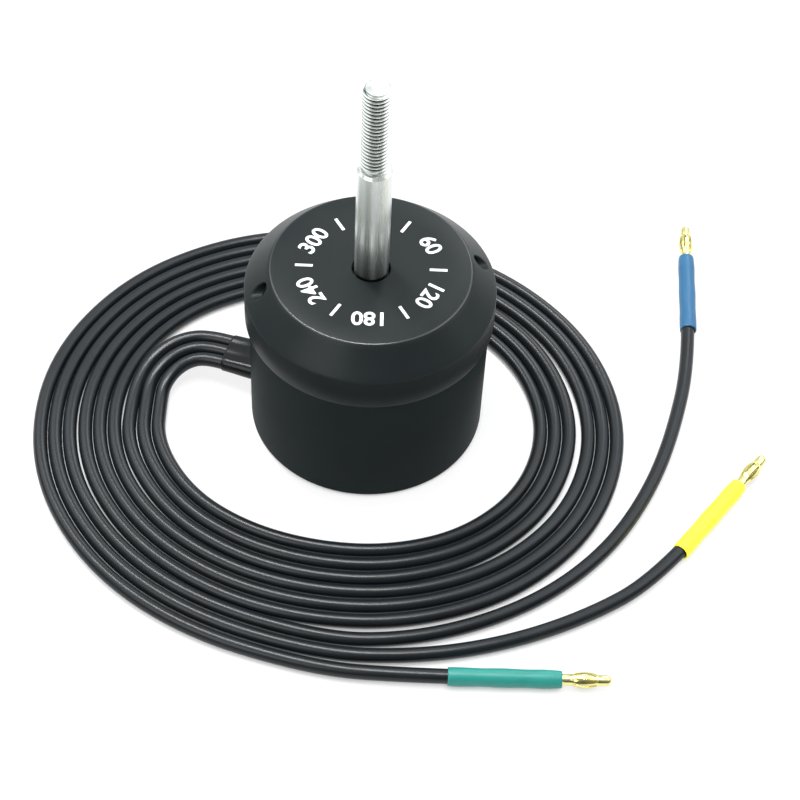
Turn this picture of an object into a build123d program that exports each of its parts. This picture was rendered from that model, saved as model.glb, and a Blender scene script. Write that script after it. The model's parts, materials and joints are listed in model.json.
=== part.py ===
from build123d import *
import os
from math import atan2, cos, degrees, hypot, pi, radians, sin, tan

# Sealed outrunner motor for a hydrofoil board, standing on its rear face, with its three leads coiled round it.
# The origin is the centre of the rear face, +Z runs along the shaft towards the propeller end,
# and -Y is the side that faces the viewer. All sizes are millimetres.

# Clearances
SEAT = 0.02          # pressed, screwed and glued seats
SEAM = 0.05          # faces that close on each other
LIP_PLAY = 0.05      # seal lip to shaft
BALL_PLAY = 0.06     # ball to raceway and to cage pocket

# Shell: aluminium tube with a screw rim near its rear end and a thinner neck under the cap
SHELL_R = 35.6
SHELL_WALL = 2.6
SHELL_SEAM_Z = 43.25
SHELL_BASE_EDGE = 0.9
NECK_STEP = 1.25             # the neck inside the shell's outside, and the cap beyond it
NECK_LENGTH = 6.7
RIM_WIDTH = 7.2
RIM_THICKNESS = 5.2

# Front cap: aluminium, screwed over the neck
CAP_BEVEL_WIDTH = 7.6
CAP_BEVEL_DROP = 8.0
CAP_THICKNESS = 12.0
CAP_EDGE = 0.15
CAP_SPIGOT_LENGTH = 4.4
CAP_SPIGOT_WALL = 2.95
CAP_BOSS_R = 17.0
CAP_BOSS_LENGTH = 3.2
CAP_MOUTH_R = 5.5
CAP_MOUTH_LIP = 1.5
SIDE_HOLE_R = 2.24           # M5, drawn at its pitch diameter
SIDE_HOLE_ANGLE = 12.9
SIDE_HOLE_DROP = 4.0
SIDE_HOLE_DEPTH = 13.85       # from the cap's full radius

# Rear cover: aluminium plate with the tube that carries the stator and two bearings
COVER_THICKNESS = 4.0
COVER_BOSS_PLAY = 0.35       # boss to the leads that run down past it
COVER_BOSS_TOP = 8.6
SHOULDER_SHARE = 0.68        # of the yoke's width, under the stack
TUBE_R = 13.1
TUBE_OVERHANG = 2.6          # above the stack
SHAFT_POCKET_R = 8.6
SHAFT_POCKET_FLOOR = 2.6
REAR_BEARING_Z = 5.6
COVER_SCREW_COUNT = 6
COVER_SCREW_INSET = 3.4      # from the shell's bore
COVER_SCREW_ANGLE = 12.0
COVER_SCREW_R = 1.33         # M3, drawn at its pitch diameter
COVER_SCREW_HOLE_R = 1.6
COVER_SCREW_HEAD_R = 2.8
COVER_SCREW_HEAD_DEPTH = 1.47
COVER_SCREW_LENGTH = 8.0
SOCKET_AF = 2.0
REAR_HOLE_COUNT = 4
REAR_HOLE_CIRCLE_R = 16.0
REAR_HOLE_R = 1.77           # M4, drawn at its pitch diameter
REAR_HOLE_DEPTH = 6.5
REAR_HOLE_ANGLE = 45.0

# O-rings
O_RING_R = 0.8
REAR_O_RING_R = 0.55
REAR_O_RING_INSET = 6.0      # from the shell's bore
GROOVE_PLAY = 0.12

# Shaft: stainless steel
SHAFT_R = 5.0
SHAFT_START_Z = 3.0
SHAFT_REACH = 40.0           # plain length beyond the cap
SHAFT_SHOULDER_CHAMFER = 0.7
SHAFT_RELIEF_WIDTH = 1.8     # groove in the cap's mouth, where the bearing seat ends and the free length starts
SHAFT_RELIEF_DEPTH = 0.35
THREAD_R = 4.0               # M8 major diameter, drawn plain
THREAD_LENGTH = 29.0
THREAD_CHAMFER = 0.9
CIRCLIP_THICKNESS = 1.0
CIRCLIP_DEPTH = 0.45
CIRCLIP_R = 7.2
CIRCLIP_GAP = 5.0

# Bearings: outer radius, width, pitch radius, ball radius, balls
LARGE_BEARING = (13.0, 8.0, 9.0, 2.38, 7)
SMALL_BEARING = (11.0, 6.0, 8.0, 1.6, 9)
LAND_SHARE = 0.66            # ring lands stand this many ball radii from the pitch circle
CAGE_SHARE = 0.32
CAGE_BRIDGE = 0.6
DISC_SPRING_THICKNESS = 0.3
DISC_SPRING_HEIGHT = 0.8
DISC_SPRING_BORE_R = 10.7

# Shaft seal
SEAL_R = 11.0
SEAL_HEIGHT = 4.4
SEAL_WALL = 1.2
SEAL_LIP_LENGTH = 2.6
SEAL_LIP_FRONT = 0.3         # the lip's faces outside the mouth's radius
SEAL_LIP_EDGE = 1.1
SEAL_LIP_BACK = 1.5
GARTER_R = 0.4

# Stator
TOOTH_COUNT = 12
STACK_Z = 15.0
YOKE_SHARE = 0.632           # of the stack's radius
TOOTH_WIDTH = 4.2
SHOE_THICKNESS = 2.0
SLOT_OPENING = 2.2
INSULATOR_THICKNESS = 0.4
COIL_YOKE_GAP = 0.8
COIL_SHOE_GAP = 0.93
COIL_SIDE_GAP = 0.4          # from a winding to the middle of its slot
COIL_OVERHANG = 2.9
COIL_HUB_GAP = 1.3
COIL_EDGE = 1.2
COIL_GAP = 0.08

# Rotor
ROTOR_CLEARANCE = 0.8        # flux ring to the shell's bore
ROTOR_HEAD_GAP = 2.7         # flux ring to the cap's spigot
FLUX_WALL = 2.85
FLUX_OVERHANG = 2.0          # below the magnets
MAGNET_COUNT = 14
MAGNET_THICKNESS = 3.0
MAGNET_OVERHANG = 1.0        # beyond the stack, at both ends
MAGNET_SHARE = 0.9
AIR_GAP = 0.7
HUB_THICKNESS = 3.7
HUB_BOSS_R = 10.0
HUB_WINDOW_COUNT = 6
HUB_WINDOW_INNER_R = 13.0
HUB_RIM_WIDTH = 4.33
HUB_WINDOW_HALF_ANGLE = 20.0
GRUB_R = 1.77                # M4, drawn at its pitch diameter
GRUB_LENGTH = 4.6
GRUB_DROP = 1.95
SHIM_THICKNESS = 0.4
SHIM_WIDTH = 1.6

# Leads, their slot in the shell and the shrink boot over them
LEAD_R = 2.15
LEAD_ANGLE = 163.5
LEAD_EXIT_Z = 7.0
LEAD_SPACING = 4.4
INNER_LEAD_BEND_R = 4.0
INNER_LEAD_INSET = 3.7       # from the rim's bore
LEAD_SLOT_PLAY = 0.25
POTTING_OVERLAP = 3.0        # inside the shell's bore
POTTING_RECESS = 1.0
BOOT_LENGTH = 10.4           # beyond the shell
BOOT_WALL = 0.6

# Coil: two laps and a quarter of the three leads side by side, a slightly oval spiral in plan
COIL_CENTRE = (-8.5, -8.6)
COIL_DRIFT = (0.6, -0.6)     # of the centre, per lap
COIL_START_GAP = 19.0        # the first lap beyond the shell, seen from the coil's centre
COIL_GROWTH = 14.1           # per lap
COIL_OVAL = 4.8
COIL_SKEW = -1.2
COIL_LAPS = 2.2
COIL_SPACING = 4.42          # lead to lead
COIL_FAN = 0.6               # wider spacing at the front
COIL_OUTLINE_POINTS = 24     # per lap

# Connectors on the leads' ends
SLEEVE_R = 2.72
SLEEVE_LENGTH = 32.0
LEAD_IN_SLEEVE = 12.0
CONNECTOR_Z = 2.76
PIN_NECK_R = 1.6
PIN_NECK_LENGTH = 3.1
PIN_CORE_R = 1.15
PIN_SPRING_LENGTH = 7.0
PIN_SPRING_R = 2.3
PIN_SPRING_WALL = 0.25
PIN_SPRING_SLOTS = 6
PIN_SPRING_SLOT = 0.7
PIN_NOSE_R = 1.55
PIN_NOSE_LENGTH = 3.9

# Radii that follow from the sizes above
SHELL_BORE_R = SHELL_R - SHELL_WALL
NECK_R = SHELL_R - NECK_STEP
CAP_R = SHELL_R + NECK_STEP
CAP_FACE_R = CAP_R - CAP_BEVEL_WIDTH
SIDE_HOLE_FLOOR_R = CAP_R - SIDE_HOLE_DEPTH
SPIGOT_R = SHELL_BORE_R - SEAM
RIM_BORE_R = SHELL_BORE_R - RIM_WIDTH
COVER_SCREW_CIRCLE_R = SHELL_BORE_R - COVER_SCREW_INSET
REAR_O_RING_CIRCLE_R = SHELL_BORE_R - REAR_O_RING_INSET
FLUX_R = SHELL_BORE_R - ROTOR_CLEARANCE
MAGNET_OUTER_R = FLUX_R - FLUX_WALL - SEAT
STATOR_R = MAGNET_OUTER_R - MAGNET_THICKNESS - AIR_GAP
YOKE_R = YOKE_SHARE * STATOR_R
SHOULDER_R = TUBE_R + SHOULDER_SHARE * (YOKE_R - TUBE_R)
COIL_INNER_R = YOKE_R + COIL_YOKE_GAP
COIL_OUTER_R = STATOR_R - SHOE_THICKNESS - COIL_SHOE_GAP
HUB_WINDOW_OUTER_R = MAGNET_OUTER_R - HUB_RIM_WIDTH
INNER_LEAD_START_R = RIM_BORE_R - INNER_LEAD_INSET
COVER_BOSS_R = INNER_LEAD_START_R - LEAD_R - COVER_BOSS_PLAY
POTTING_START_R = SHELL_BORE_R - POTTING_OVERLAP
BOOT_REACH = SHELL_R + BOOT_LENGTH
COIL_START_R = SHELL_R + COIL_START_GAP

# Heights that follow from the sizes above
NECK_TOP = SHELL_SEAM_Z + NECK_LENGTH
CEILING_Z = NECK_TOP + SEAM
CAP_TOP = CEILING_Z + CAP_THICKNESS
SKIRT_BOTTOM = SHELL_SEAM_Z + SEAM
RIM_Z = COVER_THICKNESS + SEAM
FRONT_BEARING_Z = CEILING_Z - CAP_BOSS_LENGTH + 0.2
SEAL_Z = CAP_TOP - CAP_MOUTH_LIP - SEAL_HEIGHT
HUB_DISC_TOP = CEILING_Z - CAP_SPIGOT_LENGTH - ROTOR_HEAD_GAP
STACK_TOP = HUB_DISC_TOP - HUB_THICKNESS - COIL_HUB_GAP - COIL_OVERHANG
STACK_HEIGHT = STACK_TOP - STACK_Z
MAGNET_Z = STACK_Z - MAGNET_OVERHANG
MAGNET_HEIGHT = STACK_HEIGHT + 2 * MAGNET_OVERHANG
FLUX_Z = MAGNET_Z - FLUX_OVERHANG
FLUX_HEIGHT = HUB_DISC_TOP - FLUX_Z
TUBE_TOP = STACK_TOP + TUBE_OVERHANG
MID_BEARING_Z = TUBE_TOP - SMALL_BEARING[1] - 0.1
HUB_Z = MID_BEARING_Z + SMALL_BEARING[1] + SHIM_THICKNESS + 2 * SEAT
HUB_TOP = FRONT_BEARING_Z - SHIM_THICKNESS - 2 * SEAT
SHOULDER_Z = CAP_TOP + SHAFT_REACH
SHAFT_END = SHOULDER_Z + THREAD_LENGTH

os.makedirs("parts", exist_ok=True)


def keep(builder, name):
    """Label a finished sub-part and write it as the node of that name."""
    builder.part.label = name
    export_step(builder.part, f"parts/{name}.step")


def ring_sector(inner_r, outer_r, half_angle):
    """A ring segment centred on +X, as a sketch."""
    with BuildSketch() as sector:
        with BuildLine():
            outer = CenterArc((0, 0), outer_r, -half_angle, 2 * half_angle)
            inner = CenterArc((0, 0), inner_r, -half_angle, 2 * half_angle)
            Line(outer @ 0, inner @ 0)
            Line(outer @ 1, inner @ 1)
        make_face()
    return sector.sketch


def radial_plane(angle, height, reach=0.0):
    """A plane that faces outwards at that angle, with its x axis along the circle and its y axis up."""
    out = Vector(cos(radians(angle)), sin(radians(angle)), 0)
    along = Vector(-out.Y, out.X, 0)
    return Plane(origin=(out.X * reach, out.Y * reach, height), x_dir=along, z_dir=out)


# Shell
with BuildPart() as shell:
    with BuildSketch(Plane.XZ):
        with BuildLine():
            Polyline(
                (SHELL_BORE_R, 0),
                (SHELL_R, 0),
                (SHELL_R, SHELL_SEAM_Z),
                (NECK_R, SHELL_SEAM_Z),
                (NECK_R, NECK_TOP),
                (SHELL_BORE_R, NECK_TOP),
                (SHELL_BORE_R, RIM_Z + RIM_THICKNESS),
                (RIM_BORE_R, RIM_Z + RIM_THICKNESS),
                (RIM_BORE_R, RIM_Z),
                (SHELL_BORE_R, RIM_Z),
                close=True,
            )
        make_face()
    revolve(axis=Axis.Z)
    foot_circles = shell.edges().filter_by(GeomType.CIRCLE).group_by(Axis.Z)[0]
    fillet(foot_circles.sort_by(SortBy.LENGTH)[-1], SHELL_BASE_EDGE)
    with BuildSketch(Plane.XY.offset(RIM_Z)):
        with PolarLocations(COVER_SCREW_CIRCLE_R, COVER_SCREW_COUNT, start_angle=COVER_SCREW_ANGLE):
            Circle(COVER_SCREW_R + SEAT)
    extrude(amount=RIM_THICKNESS, mode=Mode.SUBTRACT)
    with BuildSketch(radial_plane(LEAD_ANGLE, LEAD_EXIT_Z, RIM_BORE_R - LEAD_R)):
        SlotOverall(2 * (LEAD_SPACING + LEAD_R + LEAD_SLOT_PLAY), 2 * (LEAD_R + LEAD_SLOT_PLAY))
    extrude(amount=SHELL_R - RIM_BORE_R + 2 * LEAD_R, mode=Mode.SUBTRACT)
keep(shell, "shell")

# Front cap
CAP_GROOVE_Z = CEILING_Z - CAP_SPIGOT_LENGTH + 1.2
with BuildPart() as front_cap:
    with BuildSketch(Plane.XZ):
        with BuildLine():
            Polyline(
                (CAP_MOUTH_R, CAP_TOP),
                (CAP_FACE_R, CAP_TOP),
                (CAP_R, CAP_TOP - CAP_BEVEL_DROP),
                (CAP_R, SKIRT_BOTTOM),
                (NECK_R + SEAM, SKIRT_BOTTOM),
                (NECK_R + SEAM, CEILING_Z),
                (SPIGOT_R, CEILING_Z),
                (SPIGOT_R, CEILING_Z - CAP_SPIGOT_LENGTH),
                (SPIGOT_R - CAP_SPIGOT_WALL, CEILING_Z - CAP_SPIGOT_LENGTH),
                (SPIGOT_R - CAP_SPIGOT_WALL, CEILING_Z),
                (CAP_BOSS_R, CEILING_Z),
                (CAP_BOSS_R, CEILING_Z - CAP_BOSS_LENGTH),
                (LARGE_BEARING[0] + SEAT, CEILING_Z - CAP_BOSS_LENGTH),
                (LARGE_BEARING[0] + SEAT, SEAL_Z),
                (SEAL_R + SEAT, SEAL_Z),
                (SEAL_R + SEAT, SEAL_Z + SEAL_HEIGHT),
                (CAP_MOUTH_R, SEAL_Z + SEAL_HEIGHT),
                close=True,
            )
        make_face()
        with Locations((SPIGOT_R, CAP_GROOVE_Z)):
            Rectangle(4 * O_RING_R, 2 * (O_RING_R + GROOVE_PLAY), mode=Mode.SUBTRACT)
    revolve(axis=Axis.Z)
    circles = front_cap.edges().filter_by(GeomType.CIRCLE)
    rims = circles.filter_by(lambda e: min(abs(e.radius - CAP_FACE_R), abs(e.radius - CAP_R)) < SEAT)
    chamfer(rims, CAP_EDGE)
    for side in (0, 180):
        with BuildSketch(radial_plane(SIDE_HOLE_ANGLE + side, CAP_TOP - SIDE_HOLE_DROP, SIDE_HOLE_FLOOR_R)):
            Circle(SIDE_HOLE_R)
        extrude(amount=CAP_R - SIDE_HOLE_FLOOR_R, mode=Mode.SUBTRACT)
keep(front_cap, "front_cap")

# Rear cover with the stator tube
with BuildPart() as rear_cover:
    with BuildSketch(Plane.XZ):
        with BuildLine():
            Polyline(
                (0, 0),
                (SHELL_BORE_R - SEAM, 0),
                (SHELL_BORE_R - SEAM, COVER_THICKNESS),
                (COVER_BOSS_R, COVER_THICKNESS),
                (COVER_BOSS_R, COVER_BOSS_TOP),
                (SHOULDER_R, COVER_BOSS_TOP),
                (SHOULDER_R, STACK_Z),
                (TUBE_R, STACK_Z),
                (TUBE_R, TUBE_TOP),
                (SMALL_BEARING[0] + SEAT, TUBE_TOP),
                (SMALL_BEARING[0] + SEAT, REAR_BEARING_Z),
                (SHAFT_POCKET_R, REAR_BEARING_Z),
                (SHAFT_POCKET_R, SHAFT_POCKET_FLOOR),
                (0, SHAFT_POCKET_FLOOR),
                close=True,
            )
        make_face()
        with Locations((REAR_O_RING_CIRCLE_R, COVER_THICKNESS)):
            Rectangle(2 * (REAR_O_RING_R + GROOVE_PLAY), 4 * REAR_O_RING_R, mode=Mode.SUBTRACT)
    revolve(axis=Axis.Z)
    with PolarLocations(COVER_SCREW_CIRCLE_R, COVER_SCREW_COUNT, start_angle=COVER_SCREW_ANGLE):
        with Locations(Location((0, 0, 0), (180, 0, 0))):
            CounterSinkHole(COVER_SCREW_HOLE_R, COVER_SCREW_HEAD_R + SEAM, COVER_THICKNESS, 90)
    with BuildSketch():
        with PolarLocations(REAR_HOLE_CIRCLE_R, REAR_HOLE_COUNT, start_angle=REAR_HOLE_ANGLE):
            Circle(REAR_HOLE_R)
    extrude(amount=REAR_HOLE_DEPTH, mode=Mode.SUBTRACT)
keep(rear_cover, "rear_cover")

# Countersunk screws that pull the rear cover against the rim
with BuildPart() as rear_cover_screws:
    with PolarLocations(COVER_SCREW_CIRCLE_R, COVER_SCREW_COUNT, start_angle=COVER_SCREW_ANGLE):
        Cylinder(COVER_SCREW_R, COVER_SCREW_LENGTH, align=(Align.CENTER, Align.CENTER, Align.MIN))
        Cone(
            COVER_SCREW_HEAD_R,
            COVER_SCREW_R,
            COVER_SCREW_HEAD_DEPTH,
            align=(Align.CENTER, Align.CENTER, Align.MIN),
        )
    with BuildSketch():
        with PolarLocations(COVER_SCREW_CIRCLE_R, COVER_SCREW_COUNT, start_angle=COVER_SCREW_ANGLE):
            RegularPolygon(SOCKET_AF / 2, 6, major_radius=False)
    extrude(amount=COVER_SCREW_HEAD_DEPTH, mode=Mode.SUBTRACT)
keep(rear_cover_screws, "rear_cover_screws")

# O-rings
with BuildPart() as cap_o_ring:
    with BuildSketch(Plane.XZ):
        with Locations((SHELL_BORE_R - SEAT - O_RING_R, CAP_GROOVE_Z)):
            Circle(O_RING_R)
    revolve(axis=Axis.Z)
keep(cap_o_ring, "cap_o_ring")

with BuildPart() as rear_o_ring:
    with BuildSketch(Plane.XZ):
        with Locations((REAR_O_RING_CIRCLE_R, RIM_Z - SEAT - REAR_O_RING_R)):
            Circle(REAR_O_RING_R)
    revolve(axis=Axis.Z)
keep(rear_o_ring, "rear_o_ring")

# Shaft seal in the cap, with the spring that closes its lip
LIP_R = SHAFT_R + LIP_PLAY
SEAL_WEB_Z = SEAL_Z + SEAL_HEIGHT - SEAL_WALL
with BuildPart() as shaft_seal:
    with BuildSketch(Plane.XZ):
        with BuildLine():
            Polyline(
                (SEAL_R, SEAL_Z + SEAM),
                (SEAL_R, SEAL_Z + SEAL_HEIGHT - SEAM),
                (CAP_MOUTH_R + SEAL_LIP_FRONT, SEAL_Z + SEAL_HEIGHT - SEAM),
                (CAP_MOUTH_R + SEAL_LIP_FRONT, SEAL_WEB_Z),
                (LIP_R, SEAL_WEB_Z - SEAL_LIP_LENGTH / 2),
                (CAP_MOUTH_R, SEAL_WEB_Z - SEAL_LIP_LENGTH),
                (CAP_MOUTH_R + SEAL_LIP_EDGE, SEAL_WEB_Z - SEAL_LIP_LENGTH),
                (CAP_MOUTH_R + SEAL_LIP_BACK, SEAL_WEB_Z),
                (SEAL_R - SEAL_WALL, SEAL_WEB_Z),
                (SEAL_R - SEAL_WALL, SEAL_Z + SEAM),
                close=True,
            )
        make_face()
    revolve(axis=Axis.Z)
keep(shaft_seal, "shaft_seal")

with BuildPart() as seal_garter_spring:
    with BuildSketch(Plane.XZ):
        with Locations((CAP_MOUTH_R + SEAL_LIP_BACK + GARTER_R, SEAL_WEB_Z - SEAL_LIP_LENGTH / 2)):
            Circle(GARTER_R)
    revolve(axis=Axis.Z)
keep(seal_garter_spring, "seal_garter_spring")


# Bearings: each has an outer ring, an inner ring, balls and a cage
def make_bearing(place, base_z, sizes):
    """Write the four pieces of one deep-groove ball bearing that starts at that height."""
    outer_r, width, pitch_r, ball_r, ball_count = sizes
    middle_z = base_z + width / 2
    race_r = ball_r + BALL_PLAY
    for ring, r_in, r_out in (
        ("outer_ring", pitch_r + LAND_SHARE * ball_r, outer_r),
        ("inner_ring", SHAFT_R + SEAT, pitch_r - LAND_SHARE * ball_r),
    ):
        with BuildPart() as bearing_ring:
            with BuildSketch(Plane.XZ):
                with Locations(((r_in + r_out) / 2, middle_z)):
                    Rectangle(r_out - r_in, width)
                with Locations((pitch_r, middle_z)):
                    Circle(race_r, mode=Mode.SUBTRACT)
            revolve(axis=Axis.Z)
        keep(bearing_ring, f"{place}_bearing_{ring}")
    with BuildPart() as balls:
        with Locations((0, 0, middle_z)):
            with PolarLocations(pitch_r, ball_count, start_angle=180 / ball_count):
                Sphere(ball_r)
    keep(balls, f"{place}_bearing_balls")
    with BuildPart() as cage:
        with BuildSketch(Plane.XZ):
            with Locations((pitch_r, middle_z)):
                Rectangle(2 * CAGE_SHARE * ball_r, 2 * (ball_r + CAGE_BRIDGE))
        revolve(axis=Axis.Z)
        for number in range(ball_count):
            with BuildSketch(radial_plane((number + 0.5) * 360 / ball_count, middle_z)):
                Circle(race_r)
            extrude(amount=outer_r, mode=Mode.SUBTRACT)
    keep(cage, f"{place}_bearing_cage")


make_bearing("front", FRONT_BEARING_Z, LARGE_BEARING)
make_bearing("mid", MID_BEARING_Z, SMALL_BEARING)
make_bearing("rear", REAR_BEARING_Z + SEAT, SMALL_BEARING)

# Disc spring that preloads the front bearing against the cap
with BuildPart() as disc_spring:
    with BuildSketch(Plane.XZ):
        with BuildLine():
            low_z = FRONT_BEARING_Z + LARGE_BEARING[1] + SEAT
            Polyline(
                (LARGE_BEARING[0], low_z),
                (LARGE_BEARING[0], low_z + DISC_SPRING_THICKNESS),
                (DISC_SPRING_BORE_R, low_z + DISC_SPRING_HEIGHT),
                (DISC_SPRING_BORE_R, low_z + DISC_SPRING_HEIGHT - DISC_SPRING_THICKNESS),
                close=True,
            )
        make_face()
    revolve(axis=Axis.Z)
keep(disc_spring, "disc_spring")

# Sleeve between the two bearings in the stator tube
with BuildPart() as bearing_spacer:
    low_z = REAR_BEARING_Z + SMALL_BEARING[1] + 2 * SEAT
    with BuildSketch(Plane.XY.offset(low_z)):
        Circle(SMALL_BEARING[0])
        Circle(SMALL_BEARING[0] - 1.2, mode=Mode.SUBTRACT)
    extrude(amount=MID_BEARING_Z - SEAT - low_z)
keep(bearing_spacer, "bearing_spacer")


# Stator: laminated stack, end insulators and the wound teeth
def lamination(builder_thickness, base_z, growth):
    """The stack's outline with its teeth and shoes, extruded from that height."""
    with BuildPart() as sheet:
        with BuildSketch(Plane.XY.offset(base_z)):
            Circle(YOKE_R)
            with PolarLocations((YOKE_R + STATOR_R) / 2 - 0.5, TOOTH_COUNT):
                Rectangle(STATOR_R - YOKE_R, TOOTH_WIDTH + growth)
            with PolarLocations(0, TOOTH_COUNT):
                add(ring_sector(STATOR_R - SHOE_THICKNESS, STATOR_R, SHOE_HALF_ANGLE))
            Circle(TUBE_R + SEAT, mode=Mode.SUBTRACT)
        extrude(amount=builder_thickness)
    return sheet


SHOE_HALF_ANGLE = 180 / TOOTH_COUNT - degrees(SLOT_OPENING / 2 / STATOR_R)
stator_core = lamination(STACK_HEIGHT, STACK_Z + SEAT, 0)
keep(stator_core, "stator_core")

lower_insulator = lamination(INSULATOR_THICKNESS, STACK_Z - INSULATOR_THICKNESS, 0)
upper_insulator = lamination(INSULATOR_THICKNESS, STACK_TOP + 2 * SEAT, 0)
with BuildPart() as stator_insulators:
    add(lower_insulator.part)
    Cylinder(SHOULDER_R + SEAT, 3 * STACK_Z, mode=Mode.SUBTRACT)
    add(upper_insulator.part)
keep(stator_insulators, "stator_insulators")

# One wound tooth: a tapered ring of wire round the tooth, between the yoke and the shoe
SLOT_SLOPE = tan(pi / TOOTH_COUNT)
COIL_HALF_WIDTH_IN = COIL_INNER_R * SLOT_SLOPE - COIL_SIDE_GAP
COIL_HALF_WIDTH_OUT = COIL_OUTER_R * SLOT_SLOPE - COIL_SIDE_GAP
COIL_LOW = STACK_Z - COIL_OVERHANG
COIL_HIGH = STACK_TOP + COIL_OVERHANG
INSULATED_LOW = STACK_Z - INSULATOR_THICKNESS - COIL_GAP
INSULATED_HIGH = STACK_TOP + INSULATOR_THICKNESS + 2 * SEAT + COIL_GAP
with BuildPart() as tooth_coil:
    with BuildSketch(Plane.XY.offset(COIL_LOW)):
        with BuildLine():
            Polyline(
                (COIL_INNER_R, -COIL_HALF_WIDTH_IN),
                (COIL_OUTER_R, -COIL_HALF_WIDTH_OUT),
                (COIL_OUTER_R, COIL_HALF_WIDTH_OUT),
                (COIL_INNER_R, COIL_HALF_WIDTH_IN),
                close=True,
            )
        make_face()
    extrude(amount=COIL_HIGH - COIL_LOW)
    sides = tooth_coil.faces().sort_by(Axis.Y)
    long_edges = sides[0].edges() + sides[-1].edges()
    fillet(long_edges.filter_by(Axis.Z, reverse=True), COIL_EDGE)
    with Locations((COIL_INNER_R, 0, (INSULATED_LOW + INSULATED_HIGH) / 2)):
        Box(2 * STATOR_R, TOOTH_WIDTH + 2 * COIL_GAP, INSULATED_HIGH - INSULATED_LOW, mode=Mode.SUBTRACT)

for phase, letter in enumerate("abc"):
    with BuildPart() as winding:
        for tooth in (2 * phase, 2 * phase + 1):
            with PolarLocations(0, 2, start_angle=tooth * 360 / TOOTH_COUNT):
                add(tooth_coil.part)
    keep(winding, f"winding_phase_{letter}")

# Rotor: flux ring with its magnets, hub, shims and screws, all turning with the shaft
with BuildPart() as flux_ring:
    with BuildSketch(Plane.XY.offset(FLUX_Z)):
        Circle(FLUX_R)
        Circle(FLUX_R - FLUX_WALL, mode=Mode.SUBTRACT)
    extrude(amount=FLUX_HEIGHT)
keep(flux_ring, "flux_ring")

with BuildPart() as magnets:
    with BuildSketch(Plane.XY.offset(MAGNET_Z)):
        with PolarLocations(0, MAGNET_COUNT):
            add(ring_sector(MAGNET_OUTER_R - MAGNET_THICKNESS, MAGNET_OUTER_R, MAGNET_SHARE * 180 / MAGNET_COUNT))
    extrude(amount=MAGNET_HEIGHT)
keep(magnets, "magnets")

GRUB_Z = HUB_TOP - GRUB_DROP
with BuildPart() as rotor_hub:
    with BuildSketch(Plane.XY.offset(HUB_DISC_TOP - HUB_THICKNESS)):
        Circle(MAGNET_OUTER_R)
        with PolarLocations(0, HUB_WINDOW_COUNT):
            add(
                ring_sector(HUB_WINDOW_INNER_R, HUB_WINDOW_OUTER_R, HUB_WINDOW_HALF_ANGLE),
                mode=Mode.SUBTRACT,
            )
    extrude(amount=HUB_THICKNESS)
    with BuildSketch(Plane.XY.offset(HUB_Z)):
        Circle(HUB_BOSS_R)
    extrude(amount=HUB_TOP - HUB_Z)
    with BuildSketch(Plane.XY.offset(HUB_Z)):
        Circle(SHAFT_R + SEAT)
    extrude(amount=HUB_TOP - HUB_Z, mode=Mode.SUBTRACT)
    for angle in (0, 90):
        with BuildSketch(radial_plane(angle, GRUB_Z)):
            Circle(GRUB_R + SEAT)
        extrude(amount=HUB_BOSS_R + 1, mode=Mode.SUBTRACT)
keep(rotor_hub, "rotor_hub")

with BuildPart() as hub_grub_screws:
    for angle in (0, 90):
        with BuildSketch(radial_plane(angle, GRUB_Z, SHAFT_R + SEAT)):
            Circle(GRUB_R)
        extrude(amount=GRUB_LENGTH)
        with BuildSketch(radial_plane(angle, GRUB_Z, SHAFT_R + SEAT + GRUB_LENGTH)):
            RegularPolygon(SOCKET_AF / 2, 6, major_radius=False)
        extrude(amount=-GRUB_LENGTH / 2, mode=Mode.SUBTRACT)
keep(hub_grub_screws, "hub_grub_screws")

with BuildPart() as hub_shims:
    for low_z in (HUB_Z - SHIM_THICKNESS - SEAT, HUB_TOP + SEAT):
        with BuildSketch(Plane.XY.offset(low_z)):
            Circle(SHAFT_R + SHIM_WIDTH)
            Circle(SHAFT_R + SEAT, mode=Mode.SUBTRACT)
        extrude(amount=SHIM_THICKNESS)
keep(hub_shims, "hub_shims")

# Shaft and the circlip under the rear bearing
CIRCLIP_Z = REAR_BEARING_Z - CIRCLIP_THICKNESS
RELIEF_Z = CAP_TOP - SHAFT_RELIEF_WIDTH
with BuildPart() as shaft:
    with BuildSketch(Plane.XZ):
        with BuildLine():
            Polyline(
                (0, SHAFT_START_Z),
                (SHAFT_R, SHAFT_START_Z),
                (SHAFT_R, CIRCLIP_Z - SEAT),
                (SHAFT_R - CIRCLIP_DEPTH, CIRCLIP_Z - SEAT),
                (SHAFT_R - CIRCLIP_DEPTH, CIRCLIP_Z + CIRCLIP_THICKNESS + SEAT),
                (SHAFT_R, CIRCLIP_Z + CIRCLIP_THICKNESS + SEAT),
                (SHAFT_R, RELIEF_Z),
                (SHAFT_R - SHAFT_RELIEF_DEPTH, RELIEF_Z),
                (SHAFT_R - SHAFT_RELIEF_DEPTH, RELIEF_Z + SHAFT_RELIEF_WIDTH),
                (SHAFT_R, RELIEF_Z + SHAFT_RELIEF_WIDTH),
                (SHAFT_R, SHOULDER_Z - SHAFT_SHOULDER_CHAMFER),
                (SHAFT_R - SHAFT_SHOULDER_CHAMFER, SHOULDER_Z),
                (THREAD_R, SHOULDER_Z),
                (THREAD_R, SHAFT_END - THREAD_CHAMFER),
                (THREAD_R - THREAD_CHAMFER, SHAFT_END),
                (0, SHAFT_END),
                close=True,
            )
        make_face()
    revolve(axis=Axis.Z)
keep(shaft, "shaft")

with BuildPart() as shaft_circlip:
    with BuildSketch(Plane.XY.offset(CIRCLIP_Z)):
        Circle(CIRCLIP_R)
        Circle(SHAFT_R - CIRCLIP_DEPTH + SEAT, mode=Mode.SUBTRACT)
        with Locations((CIRCLIP_R, 0)):
            Rectangle(2 * CIRCLIP_R, CIRCLIP_GAP, mode=Mode.SUBTRACT)
    extrude(amount=CIRCLIP_THICKNESS)
keep(shaft_circlip, "shaft_circlip")

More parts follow.
